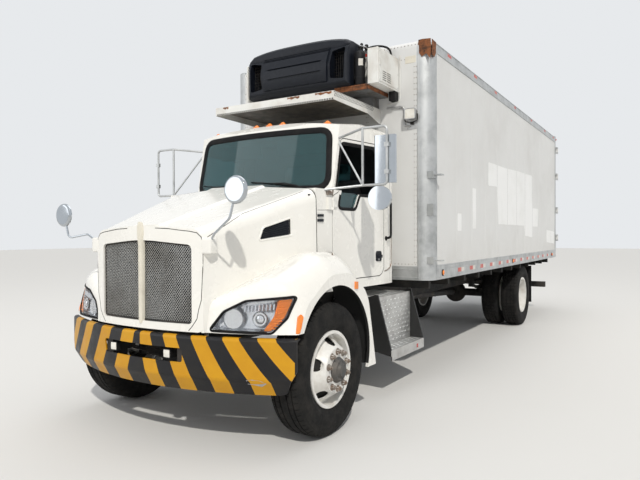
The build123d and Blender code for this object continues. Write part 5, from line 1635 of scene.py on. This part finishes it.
# Rear: lock rods with their keepers and handles, and the lamps
REAR_FACE = 9.082
DISC_ROWS = ((-0.004, 0.058), (0.0, 0.058), (0.0015, 0.05))
LENS_ROWS = ((-0.004, 0.048), (0.0005, 0.047), (0.0018, 0.03), (0.002, 0.0))
SMALL_LENS_ROWS = ((-0.004, 0.026), (0.002, 0.024), (0.0038, 0.0))


def add_rear():
    for side, sign in SIDES:
        b = Build("rear_door_fittings_" + side, steel)
        for x in (0.30, 0.98):
            rod, handle_end = sign * x, sign * (x - 0.3)
            b.tube([at(rod, REAR_FACE - 0.014, 1.30), at(rod, REAR_FACE - 0.014, 3.42)], 0.012, 10)
            for z in (1.36, 1.95, 2.5, 3.05, 3.38):
                b.block(rod - 0.03, rod + 0.03, REAR_FACE - 0.032, REAR_FACE - 0.001, z - 0.02, z + 0.02)
            low, high = sorted((rod, handle_end))
            b.block(low, high, REAR_FACE - 0.010, REAR_FACE - 0.002, 1.79, 1.82)
        b.done("rear_door_" + side, bevel=0.002)
    b = Build("tail_lamps", dark_trim, red_lens, amber_lens, lamp_white)
    for x, paint in ((0.80, 3), (0.93, 1), (1.06, 2)):
        b.paint = 0
        b.lathe(at(x, REAR_FACE - 0.002, 1.155), BACKWARD, DISC_ROWS, 28)
        b.paint = paint
        b.lathe(at(x, REAR_FACE - 0.002, 1.155), BACKWARD, LENS_ROWS, 28)
    b.paint = 1
    for x in (0.0, 0.15, 1.28):
        b.lathe(at(x, REAR_FACE - 0.004, 3.53), BACKWARD, SMALL_LENS_ROWS, 20)
    b.mirror()
    b.done("chassis", angle=30)


# Floor, world and lamps
FLOOR_HALF = 60
PALE_SKY = (0.8, 0.82, 0.84, 1)
# Area lamps: name, size, place, target, power
LAMPS = (
    ("fill_front", 8, (-8, -14, 6), (0, -3, 1), 260),
    ("top", 10, (0, 1, 14), (0, 1, 0), 380),
)
SUN_WAY = Vector((-0.42, 0.5, -0.62))


def add_lamp(name, kind, power, way, place=(0, 0, 0)):
    lamp = bpy.data.lights.new(name, kind)
    lamp.energy = power
    holder = new_object(name, lamp)
    holder.location = place
    holder.rotation_mode = "QUATERNION"
    holder.rotation_quaternion = way.to_track_quat("-Z", "Y")
    return lamp


def add_world():
    """Soft grey light, with a paler background for the camera, for glossy rays and through glass."""
    world = bpy.data.worlds.new("studio")
    bpy.context.scene.world = world
    world.use_nodes = True
    tree = world.node_tree
    back = find_node(tree, "BACKGROUND")
    height = axis_value(tree, new_node(tree, "TexCoord").outputs["Generated"], "Z")
    sky = mixed(tree, ramp(tree, height, -0.1, 0.5), (0.62, 0.62, 0.62), (0.85, 0.88, 0.92))
    feed(back, "Color", sky)
    feed(back, "Strength", 0.55)
    pale = new_node(tree, "Background", Color=PALE_SKY)
    path = new_node(tree, "LightPath")
    seen_ray = math_node(tree, "MAXIMUM", path.outputs["Is Camera Ray"], path.outputs["Is Transmission Ray"])
    bright = math_node(tree, "MAXIMUM", seen_ray, path.outputs["Is Glossy Ray"])
    choice = new_node(tree, "MixShader")
    for i, source in enumerate((bright, back.outputs[0], pale.outputs[0])):
        feed(choice, i, source)
    feed(find_node(tree, "OUTPUT_WORLD"), "Surface", choice.outputs[0])


def add_stage():
    mesh = bpy.data.meshes.new("floor")
    corners = [(x * FLOOR_HALF, y * FLOOR_HALF, 0) for x, y in ((-1, -1), (1, -1), (1, 1), (-1, 1))]
    mesh.from_pydata(corners, [], [(0, 1, 2, 3)])
    floor = new_object("floor", mesh)
    mat, _, shader = new_material("floor")
    feed(shader, "Base Color", (0.72, 0.71, 0.69, 1))
    feed(shader, "Roughness", 0.9)
    mesh.materials.append(mat)
    add_world()
    for name, size, place, target, power in LAMPS:
        lamp = add_lamp(name, "AREA", power, Vector(target) - Vector(place), place)
        lamp.size = size
    sun = add_lamp("sun", "SUN", 2.3, SUN_WAY)
    sun.angle = math.radians(1.5)
    sun.color = (1, 0.97, 0.91)
    bpy.context.scene.view_settings.view_transform = "Standard"


add_tyres()
add_hub_trim()
add_grille()
add_headlamps()
add_windshield_trim()
add_cowl()
add_vents()
add_doors()
add_box_sides()
add_patches()
add_rails()
add_front_wall()
add_unit_crown()
add_unit_panel()
add_unit_ends()
add_receiver()
add_valves()
add_control_box()
add_hose()
add_connector()
add_front_details()
add_mirror_details()
add_side_details()
add_step_box()
add_platform_details()
add_wall_fittings()
add_seats()
add_cab_inside()
add_rear()
add_stage()
